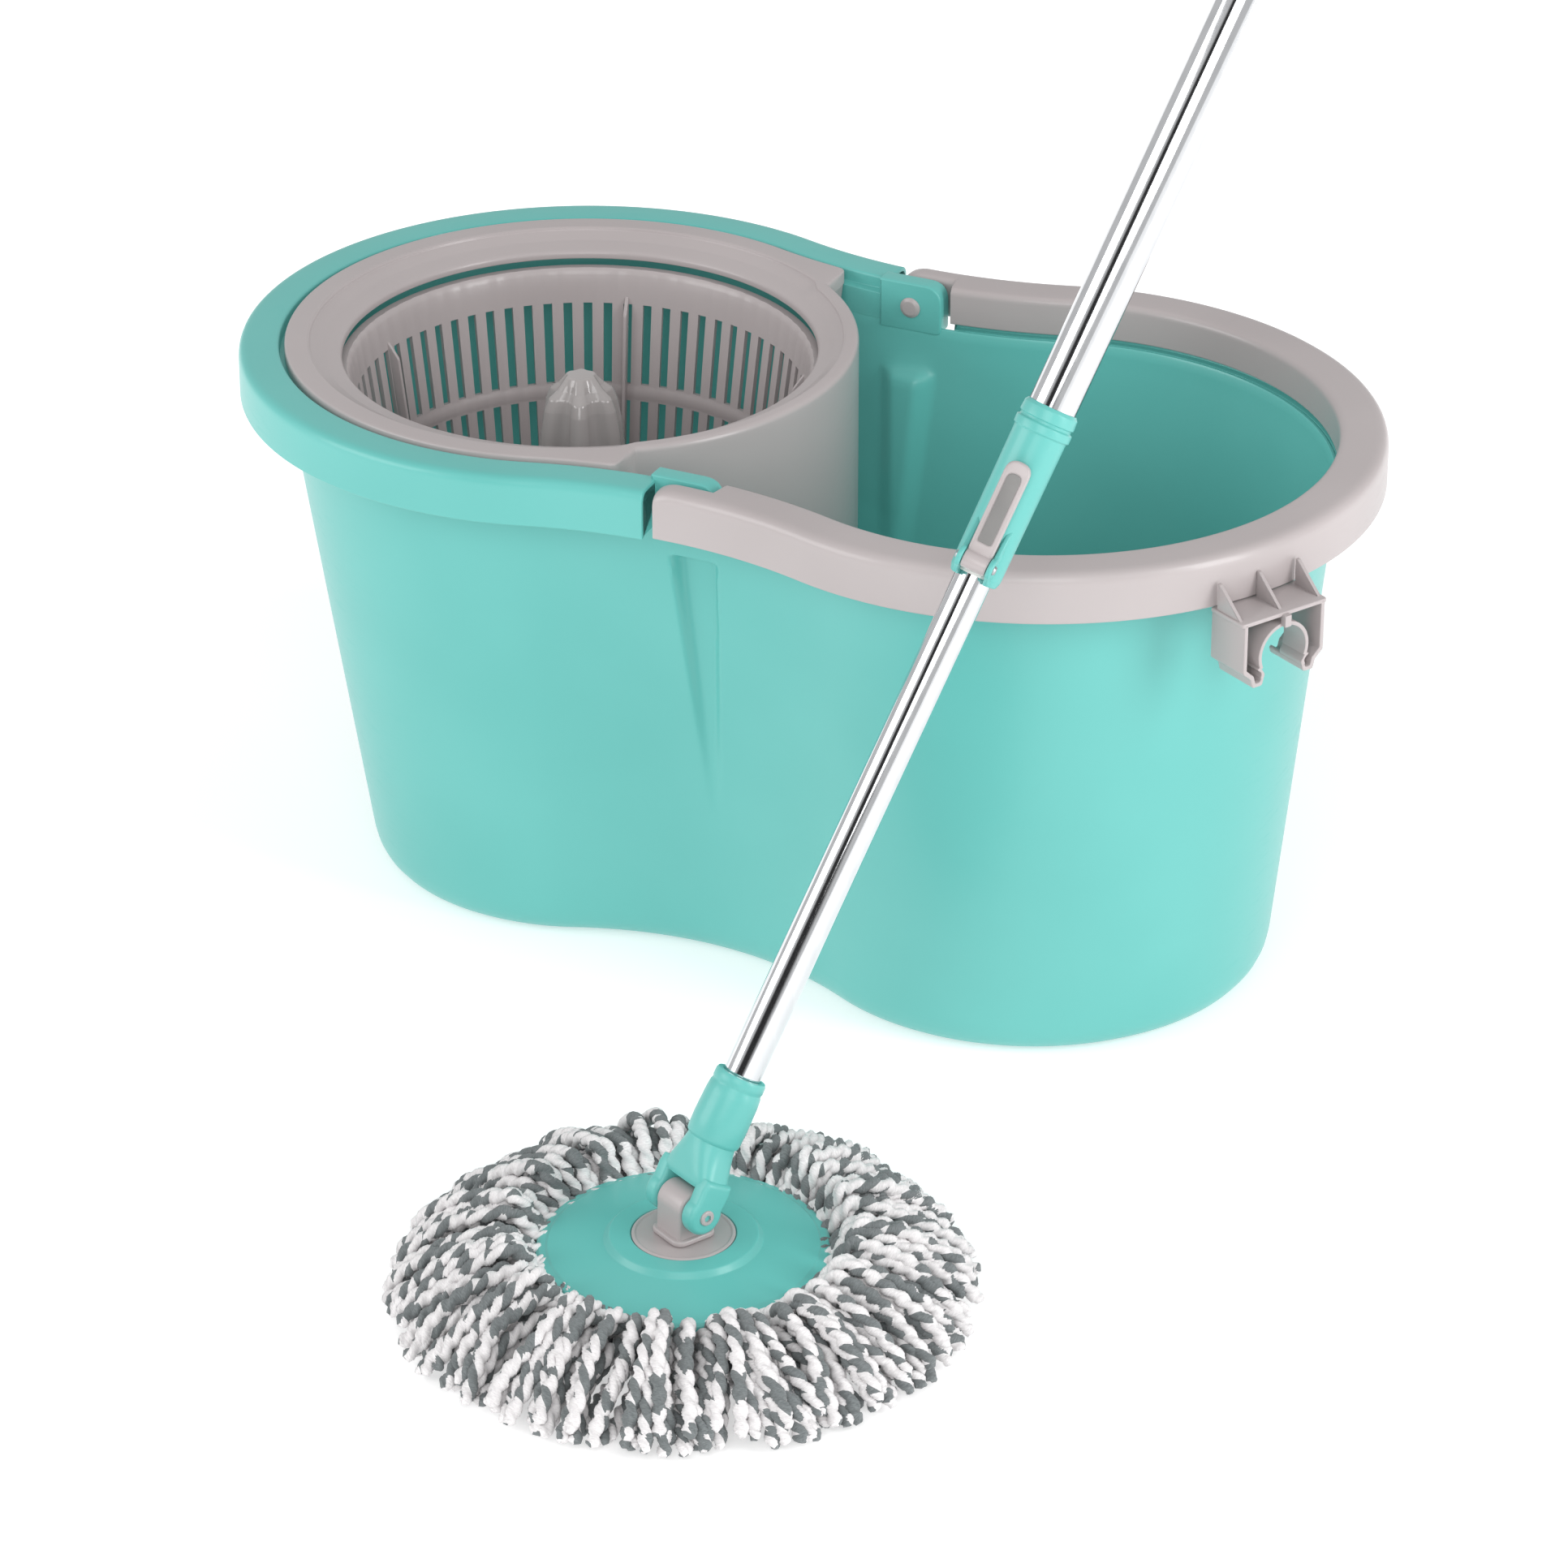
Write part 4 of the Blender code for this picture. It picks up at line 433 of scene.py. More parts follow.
def bucketWall():
    wall, base = shell["wall"], shell["floor"]
    heights = [22, 34, 46, 58, 70, 80] + [84 + 7.5 * i for i in range(18)] + [215.5, 217.6, 218.6, 219.4, 220.4,
                                                                          223, 229, 235.9]
    inner = [(-20, base), (-14.5, base + 0.4), (-10, base + 1.6), (-6.6, base + 3.4), (-4.2, base + 6),
             (-2.8, base + 9), (-wall, base + 12.6)] + [(-wall, height) for height in heights]
    outer = [(0, height) for height in reversed(heights)] + [(0, 15), (-0.5, 10), (-1.7, 6.4), (-3.8, 3.4),
                                                            (-7, 1.2), (-11, 0.2), (-15, 0)]
    edge = [(-wall, 240.6), (-1.5, 241.4), (-0.5, 241.4), (0, 240.6)]
    front = evenRun(0, hollowShare(-30), 8)[1:-1] + waistRun(-30, 30, 1.3) + evenRun(hollowShare(30), 1, 8)[1:-1]
    stations = (lobe("spin") + [("front", s) for s in front] + lobe("wash") + [("back", 1 - s) for s in
                                                                            reversed(front)])
    bm = bmesh.new()
    rows = []
    for station in stations:
        row = []
        for index, (reach, height) in enumerate(inner + edge + outer):
            x = outlinePoint(station, height, 0)[0]
            soft = 5.0 if index < len(inner) else 2.2  # the plastic flows round the inner side of the flute
            dent = fluteDepth(x, height, soft) if station[0] in ("front", "back") else 0
            row.append(bm.verts.new(outlinePoint(station, height, reach - dent)))
        rows.append(row)
    for first, second in zip(rows, rows[1:] + rows[:1]):
        for i in range(len(first) - 1):
            bm.faces.new((first[i], first[i + 1], second[i + 1], second[i]))
    bm.faces.new([row[0] for row in rows])
    bm.faces.new([row[-1] for row in rows])
    return bm


def bucketBand():  # the wide rolled rim of the basket lobe, and the webs that close its two ends
    out, top, ledge, low = shell["rimReach"], shell["top"], shell["ledge"], 237.0
    band = fillet([(-2.0, 241.2, 0), (-2.0, ledge, 0.4), (3.0, ledge, 0.6), (3.0, top, 1.4), (out, top, 5.0),
                   (out, low, 1.0), (out - 2.3, low, 0.9), (out - 2.3, top - 2.3, 3.4), (5.3, top - 2.3, 1.0),
                   (5.3, ledge - 2.3, 0.6), (0, ledge - 2.3, 0.5), (0, 241.2, 0)])
    web = fillet([(0.1, ledge - 1, 0.4), (3.6, ledge - 1, 0.4), (3.6, top - 0.8, 0.9), (out - 0.7, top - 0.8, 4.4),
                  (out - 0.7, low + 0.6, 0.7), (0.1, low + 0.6, 0.4)])
    end = shell["bandEnd"]
    shares = evenRun(hollowShare(end), 0, 22)
    fine = [hollowShare(end - d) for d in (0, 0.25, 0.7, 1.6)]
    shares = fine + [s for s in shares if s < fine[-1] - 0.004]
    front = [("front", s) for s in reversed(shares) if s > 0]
    back = [("back", 1 - s) for s in shares if s > 0]
    parts = [rimSweep(back + lobe("spin", 132) + front, band)]
    for name, sign in (("front", 1), ("back", -1)):
        marks = [end - 2.4, end - 2.1, end - 1.2, end - 0.6, end - 0.35]
        stations = [(name, hollowShare(x) if sign > 0 else 1 - hollowShare(x)) for x in marks]
        parts.append(rimSweep(stations, web, 0.4))
    return parts


def lowRim():  # the water lobe's rim, hidden in the handle until the handle is lifted
    rim = fillet([(0.3, 241.3, 0.2), (3.8, 241.3, 0.6), (3.8, 259.2, 1.2), (16.5, 259.2, 3.0), (16.5, 249.2, 0.8),
                  (14.2, 249.2, 0.8), (14.2, 256.9, 1.8), (6.1, 256.9, 0.9), (6.1, 239.2, 0.6), (0.3, 239.2, 0.2)])
    shares = evenRun(hollowShare(20.8), 1, 14)[:-1]
    return rimSweep([("front", s) for s in shares] + lobe("wash") + [("back", 1 - s) for s in reversed(shares)], rim)


def bucketLugs():
    drop, start, end = shell["lugDrop"], shell["bandEnd"] - 1.8, shell["lugEnd"]
    low, high = shell["pivot"] - drop, shell["pivot"] + drop
    outline = fillet([(start, low, 0.8), (end, low, 3.5), (end, high, 9.0), (start, high, 0.8)], 8)
    inside, outside = waistHalf() - 2.3, waistHalf() + shell["lugReach"]
    return [prism(outline, inside, outside, "Y", 0.9, 4), prism(outline, -outside, -inside, "Y", 0.9, 4)]


def bucketStand():
    outer = fillet([(0, 1.4, 0), (27, 1.4, 0), (24.5, 4.5, 4), (13.4, 97, 3), (13.0, 100, 1.2), (4.3, 100, 0.5),
                    (4.3, 70.2, 0), (0, 70.2, 0)], 5, closed=False)
    ribs = []
    for k in range(6):
        side = fillet([(10, 2, 0), (44, 2, 1.5), (40, 8, 2), (18, 62, 3), (10, 66, 0)], 4)
        rib = prism(side, -1.1, 1.1, "Y", 0.4)
        ribs.append(shifted(rib, Matrix.Translation((-halfSpacing, 0, 0)) @ Matrix.Rotation(k * math.pi / 3, 4, "Z")))
    return [turned(outer, 72, centre=(-halfSpacing, 0))] + ribs


addPiece("bucketShell", joined(bucketWall(), *bucketBand(), lowRim(), *bucketLugs(), *bucketStand()), "teal",
         "bucket", ["bucket"])
print("bucket made")


# ---- carry handle with its pins and pole clip

carry = {"top": 262.0, "skin": 2.4, "foot": 238.5, "innerFoot": 244.0, "innerReach": -0.5, "cheekReach": 9.0,
         "cheekEnd": 18.4, "end": -9.0, "endArc": 0.7}


def handleProfile(x):
    top, skinDepth, out = carry["top"], carry["skin"], shell["rimReach"]
    share = smooth((x - carry["cheekEnd"] + 0.7) / 1.4)
    inner = carry["cheekReach"] + share * (carry["innerReach"] - carry["cheekReach"])
    if x < 0:
        arc = math.sqrt(max(shell["lugDrop"] ** 2 - x * x, 0))
        top = shell["pivot"] + shell["lugDrop"] + (arc - shell["lugDrop"]) * carry["endArc"]
    return fillet([(out, carry["foot"], 1.1), (out, top, 6.0), (inner, top, 3.8), (inner, carry["innerFoot"], 1.1),
                   (inner + skinDepth, carry["innerFoot"], 1.0), (inner + skinDepth, top - skinDepth, 2.0),
                   (out - skinDepth, top - skinDepth, 3.4), (out - skinDepth, carry["foot"], 1.1)], 6)


def handleBow():
    end = carry["end"]
    near = [end, end + 0.25, end + 0.8, end + 1.8] + [end + 1.8 + 1.9 * i for i in range(1, 13)]
    near = [x for x in near if x < carry["cheekEnd"] - 1] + [carry["cheekEnd"] + d for d in (-0.8, -0.4, 0, 0.4, 0.8)]
    shares = [(hollowShare(x), x) for x in near]
    shares += [(s, halfSpacing) for s in evenRun(hollowShare(carry["cheekEnd"] + 1.2), 1, 20)[:-1]]
    stations = [(("front", s), x) for s, x in shares] + [(s, halfSpacing) for s in lobe("wash", 120)]
    stations += [(("back", 1 - s), x) for s, x in reversed(shares)]
    loops = []
    for k, (station, x) in enumerate(stations):
        fromEnd = min(k, len(stations) - 1 - k)
        outline = handleProfile(x)
        if fromEnd < 2:
            outline = inset(outline, 0.7 * (1 - fromEnd / 2) ** 2)
        loops.append([outlinePoint(station, height, reach) for reach, height in outline])
    return skin(bmesh.new(), loops)


def handlePin(side):
    start = waistHalf() - shell["wall"] - 1.9
    end = waistHalf() + shell["rimReach"] - 2.8
    head = fillet([(0, start, 0), (3.4, start, 1.2), (5.0, start + 0.9, 0.8), (5.0, start + 1.6, 0.2),
                   (3.5, start + 1.6, 0), (3.5, end, 0.4), (0, end, 0)], 4, closed=False)
    return shifted(turned(head, 40), Matrix.Translation((0, 0, shell["pivot"])) @ Matrix.Rotation(-side * math.pi / 2,
                                                                                            4, "X"))


clip = {"turn": -29.0, "face": 156.0, "reach": 19.0, "half": 22.0, "skin": 2.0, "top": 238.2, "drop": 32.0,
        "jaw": 12.0, "jawHeight": 219.4, "ribHeight": 12.0}


def poleClip():
    half, skinDepth, top, face = clip["half"], clip["skin"], clip["top"], clip["face"]
    end = face + clip["reach"]
    low = top - clip["drop"]
    leg = half - skinDepth
    plate = prism(fillet([(face - 3, -half - 1.2, 1), (end, -half - 1.2, 1.6), (end, half + 1.2, 1.6),
                          (face - 3, half + 1.2, 1)], 4), top - skinDepth, top, "Z", 0.5)
    legs = []
    for side in (1, -1):
        # the side plate steps inward at its foot and turns up into the spring jaw
        strip = [(side * a, b, r) for a, b, r in
                 ((half, top - 0.4, 0), (half, low + 8, 1.6), (half - 4.2, low + 4.4, 1.6), (half - 5.4, low, 1.4),
                  (half - 10.6, low, 1.4), (half - 11.6, low + 3.2, 1.6), (half - 10.2, low + 4.0, 0.6),
                  (half - 9.4, low + 1.9, 1.0), (half - 7.0, low + 1.9, 1.0), (half - 6.0, low + 5.6, 1.6),
                  (leg, low + 9.2, 1.6), (leg, top - 0.4, 0))]
        outline = fillet(strip if side > 0 else strip[::-1], 4)
        legs.append(prism(outline, face - 3.6, end, "X", 0.5))
    jaw, mid = clip["jaw"], clip["jawHeight"]
    outer = [(side, b) for side, b in arcPoints(0, mid, jaw + 1.8, -24, 204, 40)]
    inner = [(side, b) for side, b in arcPoints(0, mid, jaw, 204, -24, 40)]
    arms = []
    for side in (1, -1):
        lip = [(side * jaw * 1.04, mid - 4.2, 0), (side * (half - 12.2), low + 5.0, 2.0),
               (side * (half - 11.2), low + 2.6, 0.7), (side * (half - 9.6), low + 3.4, 0.7),
               (side * (half - 10.4), low + 5.8, 2.0), (side * (jaw * 1.04 + 1.8), mid - 5.0, 0)]
        arms.append(prism(fillet(lip if side > 0 else lip[::-1], 4), face + 4, end, "X", 0.4))
    jaws = prism(outer + inner, face + 4, end, "X", 0.4)
    posts = [prism(fillet([(face + d, -1.7, 0.4), (face + d + 3.4, -1.7, 0.4), (face + d + 3.4, 1.7, 0.4),
                           (face + d, 1.7, 0.4)], 3), mid + jaw + 0.6, top - 1, "Z", 0) for d in (5, 18)]
    ribs = []
    for middle in (-half + 0.6, 0, half - 0.6):
        rib = fillet([(face + 0.1, top - 0.6, 0), (end - 2.5, top - 0.6, 0.3),
                      (face + 1.5, top + clip["ribHeight"], 0.8), (face + 0.1, top + clip["ribHeight"], 0)], 3)
        ribs.append(prism(rib, middle - 0.9, middle + 0.9, "Y", 0.35))
    return joined(plate, *legs, jaws, *arms, *posts, *ribs)


clipPlace = Matrix.Translation((halfSpacing, 0, 0)) @ Matrix.Rotation(math.radians(clip["turn"]), 4, "Z")
addPiece("carryHandle", handleBow(), "grey", "handle", ["handle"])
addPiece("poleClip", poleClip(), "grey", "handle", ["pole_clip"], clipPlace)
addPiece("frontHandlePin", handlePin(-1), "grey", "handle", ["handle_pin_front"])
addPiece("backHandlePin", handlePin(1), "grey", "handle", ["handle_pin_back"])
print("handle made")


# ---- wringer ring with its splash guard

ring = {"radius": 135.0, "opening": 109.0, "top": 261.0, "guard": 127.7, "guardFoot": 160.0, "guardWall": 2.5,
        "cornerX": -35.0, "gap": 2.0}
spinPlace = Matrix.Translation((-halfSpacing, 0, 0))


def lobeReach(turn, height, reach):
    spin, wash, hollow = outlineSizes(height)
    x, y = hollowCentre(spin, wash, hollow)
    if turn >= math.atan2(y, x + halfSpacing):
        return spin + reach
    along = (x + halfSpacing) * math.cos(turn) + y * math.sin(turn)
    square = along ** 2 - (x + halfSpacing) ** 2 - y ** 2 + (hollow - reach) ** 2
    return along - math.sqrt(square) if square > 0 else 1000.0  # through the open waist there is no wall


def softLeast(first, second, power):  # the smaller of two reaches, with a rounded crossing
    return (first ** -power + second ** -power) ** (-1 / power)


def ringProfile(angle):
    turn = abs(math.remainder(angle, 2 * math.pi))
    guardTurn = math.acos((ring["cornerX"] + halfSpacing) / ring["guard"])
    cornerTurn = math.atan2(waistHalf() + 3, ring["cornerX"] + halfSpacing)
    top, lip, ledge = ring["top"], ring["opening"], shell["ledge"] + 0.3
    inside = lobeReach(turn, shell["ledge"], -shell["wall"]) - ring["gap"]
    flat = (ring["cornerX"] + halfSpacing) / max(math.cos(turn), 0.05) if turn < 1.5 else 1e4
    land = lobeReach(turn, shell["top"], ring["radius"] - shell["topRadius"])
    land = softLeast(flat, land, 60) if turn > guardTurn - 0.02 else ring["guard"]
    guarded = smooth((cornerTurn + 0.02 - turn) / 0.02)
    shoulder = smooth((guardTurn + 0.07 - turn) / 0.09)
    out = ring["guard"] if turn <= guardTurn else land
    side = min(out, inside)
    foot = ring["guardFoot"] if guarded > 0.5 else ledge
    lowOut = min(out, lobeReach(turn, ring["guardFoot"], -shell["wall"]) - ring["gap"]) if guarded > 0.5 else side
    width = 14.5 - 3.0 * shoulder
    thick = ring["guardWall"]
    hang = top - 10
    return fillet([(lip, hang, 0.8), (lip, top - 6.4, 3.2), (lip + 0.6 * width, top - 4.2, 6.0),
                   (lip + width, top - 1.5, 1.2), (lip + width + 0.2, top - 0.5, 0.3), (lip + width + 1.2, top, 0.5),
                   (out, top, 1.3 + 5.5 * shoulder), (out, ledge + 0.4, 0), (side, ledge, 0),
                   (lowOut, foot, 0.6), (lowOut - thick, foot, 0.6), (side - thick, ledge + 1.2, 1.2),
                   (lip + 7.5, top - 8.2, 1.2), (lip + 2.2, hang, 0.8)], 5)


def wringerRing():
    guardTurn = math.acos((ring["cornerX"] + halfSpacing) / ring["guard"])
    cornerTurn = math.atan2(waistHalf() + 3, ring["cornerX"] + halfSpacing)
    half = evenRun(0, guardTurn - 0.03, 42)
    half += [a for a in evenRun(guardTurn - 0.03, cornerTurn + 0.06, 46) if a > half[-1] + 1e-4]
    half += [cornerTurn + 0.0005, cornerTurn + 0.0105]
    half += [a for a in evenRun(cornerTurn + 0.06, math.pi, 90)][1:]
    half = sorted(half)
    angles = half + [2 * math.pi - a for a in reversed(half[1:-1])]
    loops = [[(-halfSpacing + r * math.cos(a), r * math.sin(a), z) for r, z in ringProfile(a)] for a in angles]
    return skin(bmesh.new(), loops, ring=True)


addPiece("wringerRing", wringerRing(), "grey", "bucket", ["wringer_ring"])
print("ring made")


# ---- basket, its fins and the drive boss

cup = {"lipRadius": 107.5, "lip": 247.5, "baseRadius": 93.0, "base": 140.0, "wall": 2.0, "floor": 2.6, "slots": 68,
       "slotShare": 0.44, "upper": (192.0, 231.0), "lower": (146.0, 184.0), "fins": 5, "finTurn": 33.0,
       "finDeep": 5.0, "drains": 8, "drainRadius": 7.0,
       "drainRing": 62, "bore": 7.4, "flange": 110.4, "plate": 91.8}


def cupRadius(height):
    share = (height - cup["base"]) / (cup["lip"] - cup["base"])
    return cup["baseRadius"] + share * (cup["lipRadius"] - cup["baseRadius"])


def cupLattice():
    bm = bmesh.new()
    pitch = 2 * math.pi / cup["slots"]
    bar = pitch * (1 - cup["slotShare"])
    angles = []
    for i in range(cup["slots"]):
        angles += [i * pitch + bar * k / 3 for k in range(4)]
    (lowFoot, lowTop), (highFoot, highTop) = cup["lower"], cup["upper"]
    flare = {247.5: 1.6, 246.4: 0.7, 244.5: 0.25}
    levels = [247.5, 246.4, 244.5, 240, 236, 233, highTop, highFoot, 190.8, 189.6, 186.4, 185.2, lowTop, lowFoot,
              143.8, 141.4, cup["base"] + cup["floor"]]
    swell = {190.8: 0.2, 189.6: 0.7, 186.4: 0.7, 185.2: 0.2}

    def row(inner, height):
        ringVerts = []
        for k, angle in enumerate(angles):
            reach = cupRadius(height) + flare.get(height, 0)
            if inner:
                belly = 0.25 if k % 4 in (1, 2) else 0.0
                reach -= cup["wall"] + swell.get(height, 0) + belly
            ringVerts.append(bm.verts.new((reach * math.cos(angle), reach * math.sin(angle), height)))
        return ringVerts

    outer, inner = [row(False, h) for h in levels], [row(True, h) for h in levels]
    wide = cup["flange"]
    rim = [bm.verts.new((wide * math.cos(a), wide * math.sin(a), cup["lip"])) for a in angles]
    under = [bm.verts.new((wide * math.cos(a), wide * math.sin(a), cup["lip"] - 1.4)) for a in angles]
    open_ = (levels.index(highTop), levels.index(lowTop))
    count = len(angles)

    def quad(a, b, i):
        bm.faces.new((a[i], a[(i + 1) % count], b[(i + 1) % count], b[i]))

    for i in range(count):
        quad(inner[0], rim, i)
        quad(rim, under, i)
        quad(under, outer[1], i)
        quad(outer[-1], inner[-1], i)
        for level in range(len(levels) - 1):
            slot = i % 4 == 3 and level in open_
            if slot:
                quad(outer[level], inner[level], i)
                quad(inner[level + 1], outer[level + 1], i)
                continue
            if level > 0:
                quad(outer[level], outer[level + 1], i)
            quad(inner[level + 1], inner[level], i)
            if level in open_ and i % 4 in (0, 2):
                k = i if i % 4 == 0 else (i + 1) % count
                bm.faces.new((outer[level][k], inner[level][k], inner[level + 1][k], outer[level + 1][k]))
    for vert in outer[0]:
        bm.verts.remove(vert)
    return bm


def cupFloor():
    low, high = cup["base"], cup["base"] + cup["floor"]
    bore, edge = cup["bore"], cup["plate"]
    plate = turned([(bore, low), (edge, low), (edge, high + 0.05), (bore, high + 0.05)], 120)
    drains = []
    for i in range(cup["drains"]):
        angle = 2 * math.pi * (i + 0.5) / cup["drains"]
        hole = [(0, low - 3), (cup["drainRadius"], low - 3), (cup["drainRadius"], high + 3), (0, high + 3)]
        drains.append(turned(hole, 36, centre=(cup["drainRing"] * math.cos(angle), cup["drainRing"] * math.sin(angle))))
    return cutAway(plate, joined(*drains))


def cupFins():
    fins = []
    for i in range(cup["fins"]):
        side = fillet([(cupRadius(150) - 1.0, 150, 0), (cupRadius(235) - 1.0, 235, 0),
                       (cupRadius(233) - 2.6, 234, 1.5), (cupRadius(228) - 2 - cup["finDeep"], 227, 5),
                       (cupRadius(150) - 2 - cup["finDeep"], 150, 1.0)], 6)
        fins.append(shifted(prism(side, -0.9, 0.9, "Y", 0.7, 4),
                            Matrix.Rotation(math.radians(cup["finTurn"] + 360 * i / cup["fins"]), 4, "Z")))
    return fins


def driveBoss():  # six rounded lobes run down from a small cap and fade into the foot
    base, top = 142.9, 240.5
    outer = fillet([(0, top, 0), (6.6, top - 0.2, 2.0), (9.0, top - 3.4, 2.0), (10.8, top - 6.0, 2.0),
                    (14.6, top - 9.4, 3.0), (16.6, top - 15, 3.0), (18.4, top - 26, 6), (21, base + 45, 9),
                    (24, base + 18, 9), (30.9, base + 3.5, 3), (30.9, base, 0.6)], 8, closed=False)
    inner = [(27.6, base), (20.6, base + 17), (16.0, base + 44), (11.0, top - 14), (0, top - 5)]

    def lobed(radius, height, angle):
        depth = 0.16 * smooth((height - base - 4) / 30) * (0.45 + 0.55 * smooth((top - height) / 9))
        wave = math.cos(6 * angle + 0.6)
        return radius * (1 + depth * math.copysign(abs(wave) ** 0.8, wave) - 0.3 * depth)
    return turned(outer + inner, 192, lobed)


def cupHub():
    bore = cup["bore"]
    hub = fillet([(bore, 103.4, 0.4), (11.5, 103.4, 0.6), (11.5, 138, 1.5), (16, 140.6, 0), (bore, 140.6, 0)], 4)
    return turned(hub, 60)


addPiece("spinBasket", joined(cupLattice(), cupFloor(), cupHub(), *cupFins()), "grey", "basket", ["basket"],
         spinPlace, 40)
addPiece("driveBoss", driveBoss(), "pale", "basket", ["drive_boss"], spinPlace, 60)
print("basket made")


# ---- mop head: disc, swivel plate, knuckle, yoke

head = {"x": 109.4, "y": -348.1, "tilt": 47.9, "heading": 62.2, "lean": 31.3}
headPlace = Matrix.Translation((head["x"], head["y"], 0)) @ Matrix.Rotation(math.radians(head["heading"]), 4, "Z")
tiltPlace = headPlace @ Matrix.Translation((0, 0, head["tilt"])) @ Matrix.Rotation(math.radians(head["lean"]), 4, "Y")

disc = {"radius": 62.0, "top": 30.0, "skin": 4.5, "step": 32.5, "stepRise": 3.0, "collar": 36.0, "collarDeep": 11.0}


def mopDisc():  # a bevelled rim, a shallow land, a raised middle and the recess for the swivel plate
    top, edge, step = disc["top"], disc["radius"], disc["step"]
    low, rise = top - disc["skin"], top + disc["stepRise"]
    inner, foot = disc["collar"], top - disc["skin"] - disc["collarDeep"]
    profile = fillet([(6.4, low + 1.6, 0), (6.4, rise - 1.9, 0), (22.3, rise - 1.9, 0.2), (22.3, rise, 0.5),
                      (step - 1.2, rise - 0.1, 1.2), (step + 1.0, top + 0.2, 1.2), (57.0, top - 2.6, 1.0),
                      (58.0, top - 3.1, 0.5), (60.6, top - 3.5, 1.4), (edge, top - 4.8, 1.2), (edge, top - 7.4, 0.5),
                      (edge - 2.0, top - 7.4, 0.4), (edge - 2.4, low - 1.6, 1.2), (inner, low - 1.0, 1.0),
                      (inner, foot, 0.9), (inner - 2.5, foot, 0.9), (inner - 2.7, low + 0.4, 1.2)], 6)
    return turned(profile, 144)


def swivelPlate():
    low, top = disc["top"] + disc["stepRise"] - 1.7, disc["top"] + disc["stepRise"]
    return turned(fillet([(6.6, low, 0.2), (21.9, low, 0.3), (21.9, top - 0.1, 0.5), (20.6, top + 0.1, 0.4),
                          (19.8, top - 0.3, 0.3), (6.6, top - 0.3, 0.2)], 5), 96)


headSpot = Matrix.Translation((head["x"], head["y"], 0))
addPiece("mopDisc", mopDisc(), "teal", "head", ["mop_disc"], headSpot, 40)
addPiece("swivelPlate", swivelPlate(), "grey", "knuckle", ["swivel_plate"], headSpot, 40)

knuckle = {"half": 8.5, "radius": 8.0, "foot": 33.1}


def knuckleBlock():  # a rounded lug that rises from the plate and holds the tilt pin
    radius, mid = knuckle["radius"], head["tilt"]
    outline = [(-8.4, knuckle["foot"])] + arcPoints(0, mid, radius, 190, -10, 28) + [(8.4, knuckle["foot"])]
    lug = prism(outline, -knuckle["half"], knuckle["half"], "Y", 1.6, 5)
    flange = prism(fillet([(-10.4, -10.4, 5), (10.4, -10.4, 5), (10.4, 10.4, 5), (-10.4, 10.4, 5)], 7),
                   knuckle["foot"] - 0.2, knuckle["foot"] + 2.4, "Z", 0.8)
    stem = turned([(0, 26.0), (6.0, 26.0), (6.0, 35), (0, 35)], 40)
    return joined(lug, flange, stem)


addPiece("knuckle", knuckleBlock(), "grey", "knuckle", ["knuckle"], headPlace)

yoke = {"earRadius": 8.5, "inner": 9.0, "outer": 16.6, "tube": 8.2}


def yokeEar(side):  # a round-topped cheek beside the knuckle, joined to the neck by a web
    radius = yoke["earRadius"]
    outline = arcPoints(0, 0, radius, 150, 390, 40) + [(radius - 0.6, 11), (radius - 1.6, 15), (-radius + 1.6, 15),
                                                       (-radius + 0.6, 11)]
    lay = sorted((side * yoke["inner"], side * yoke["outer"]))
    return prism(outline, lay[0], lay[1], "Y", 2.4, 6)


def squircle(halfX, halfY, power, height, count=80):
    points = []
    for i in range(count):
        angle = 2 * math.pi * i / count
        c, s = math.cos(angle), math.sin(angle)
        reach = (abs(c / halfX) ** power + abs(s / halfY) ** power) ** (-1 / power)
        points.append((reach * c, reach * s, height))
    return points


def yokeBody():  # neck between the ears, then a round socket with a groove and a lip
    bore = yoke["tube"]
    rows = [(7.4, 13.2, 3.6, 9.8), (8.2, 14.8, 3.6, 10.6), (8.8, 15.2, 3.6, 12.6), (9.4, 14.0, 3.2, 16.0),
            (9.9, 12.4, 2.8, 20.0), (10.3, 11.2, 2.4, 24.0), (10.5, 10.6, 2.1, 27.4), (10.6, 10.6, 2.0, 28.6),
            (11.4, 11.4, 2.0, 29.4), (11.8, 11.8, 2.0, 30.6), (12.0, 12.0, 2.0, 38.0), (11.7, 11.7, 2.0, 49.0),
            (11.3, 11.3, 2.0, 52.6), (10.9, 10.9, 2.0, 53.4), (10.9, 10.9, 2.0, 54.2), (11.2, 11.2, 2.0, 54.8),
            (11.1, 11.1, 2.0, 57.8), (10.6, 10.6, 2.0, 58.9), (9.0, 9.0, 2.0, 59.0), (bore, bore, 2.0, 58.2),
            (bore, bore, 2.0, 31.0)]
    return skin(bmesh.new(), [squircle(x, y, power, height) for x, y, power, height in rows])


addPiece("yoke", joined(yokeBody(), yokeEar(1), yokeEar(-1)), "teal", "lower_pole", ["yoke"], tiltPlace)


def tiltPin():
    end = yoke["outer"]
    body = fillet([(0, -end - 0.9, 0), (3.4, -end - 0.9, 0.8), (3.4, end + 0.9, 0.8), (0, end + 0.9, 0)], 4,
                  closed=False)
    bar = turned(body, 40)
    hexagon = [(1.75 * math.cos(math.pi * k / 3), 1.75 * math.sin(math.pi * k / 3)) for k in range(6)]
    recesses = joined(prism(hexagon, end - 1.2, end + 3, "Z", 0), prism(hexagon, -end - 3, -end + 1.2, "Z", 0))
    return shifted(cutAway(bar, recesses), Matrix.Rotation(math.pi / 2, 4, "X"))


addPiece("tiltPin", tiltPin(), "grey", "lower_pole", ["tilt_pin"], tiltPlace)
print("mop joint made")


# ---- pole: two tubes, collar with its lever, grip and cap

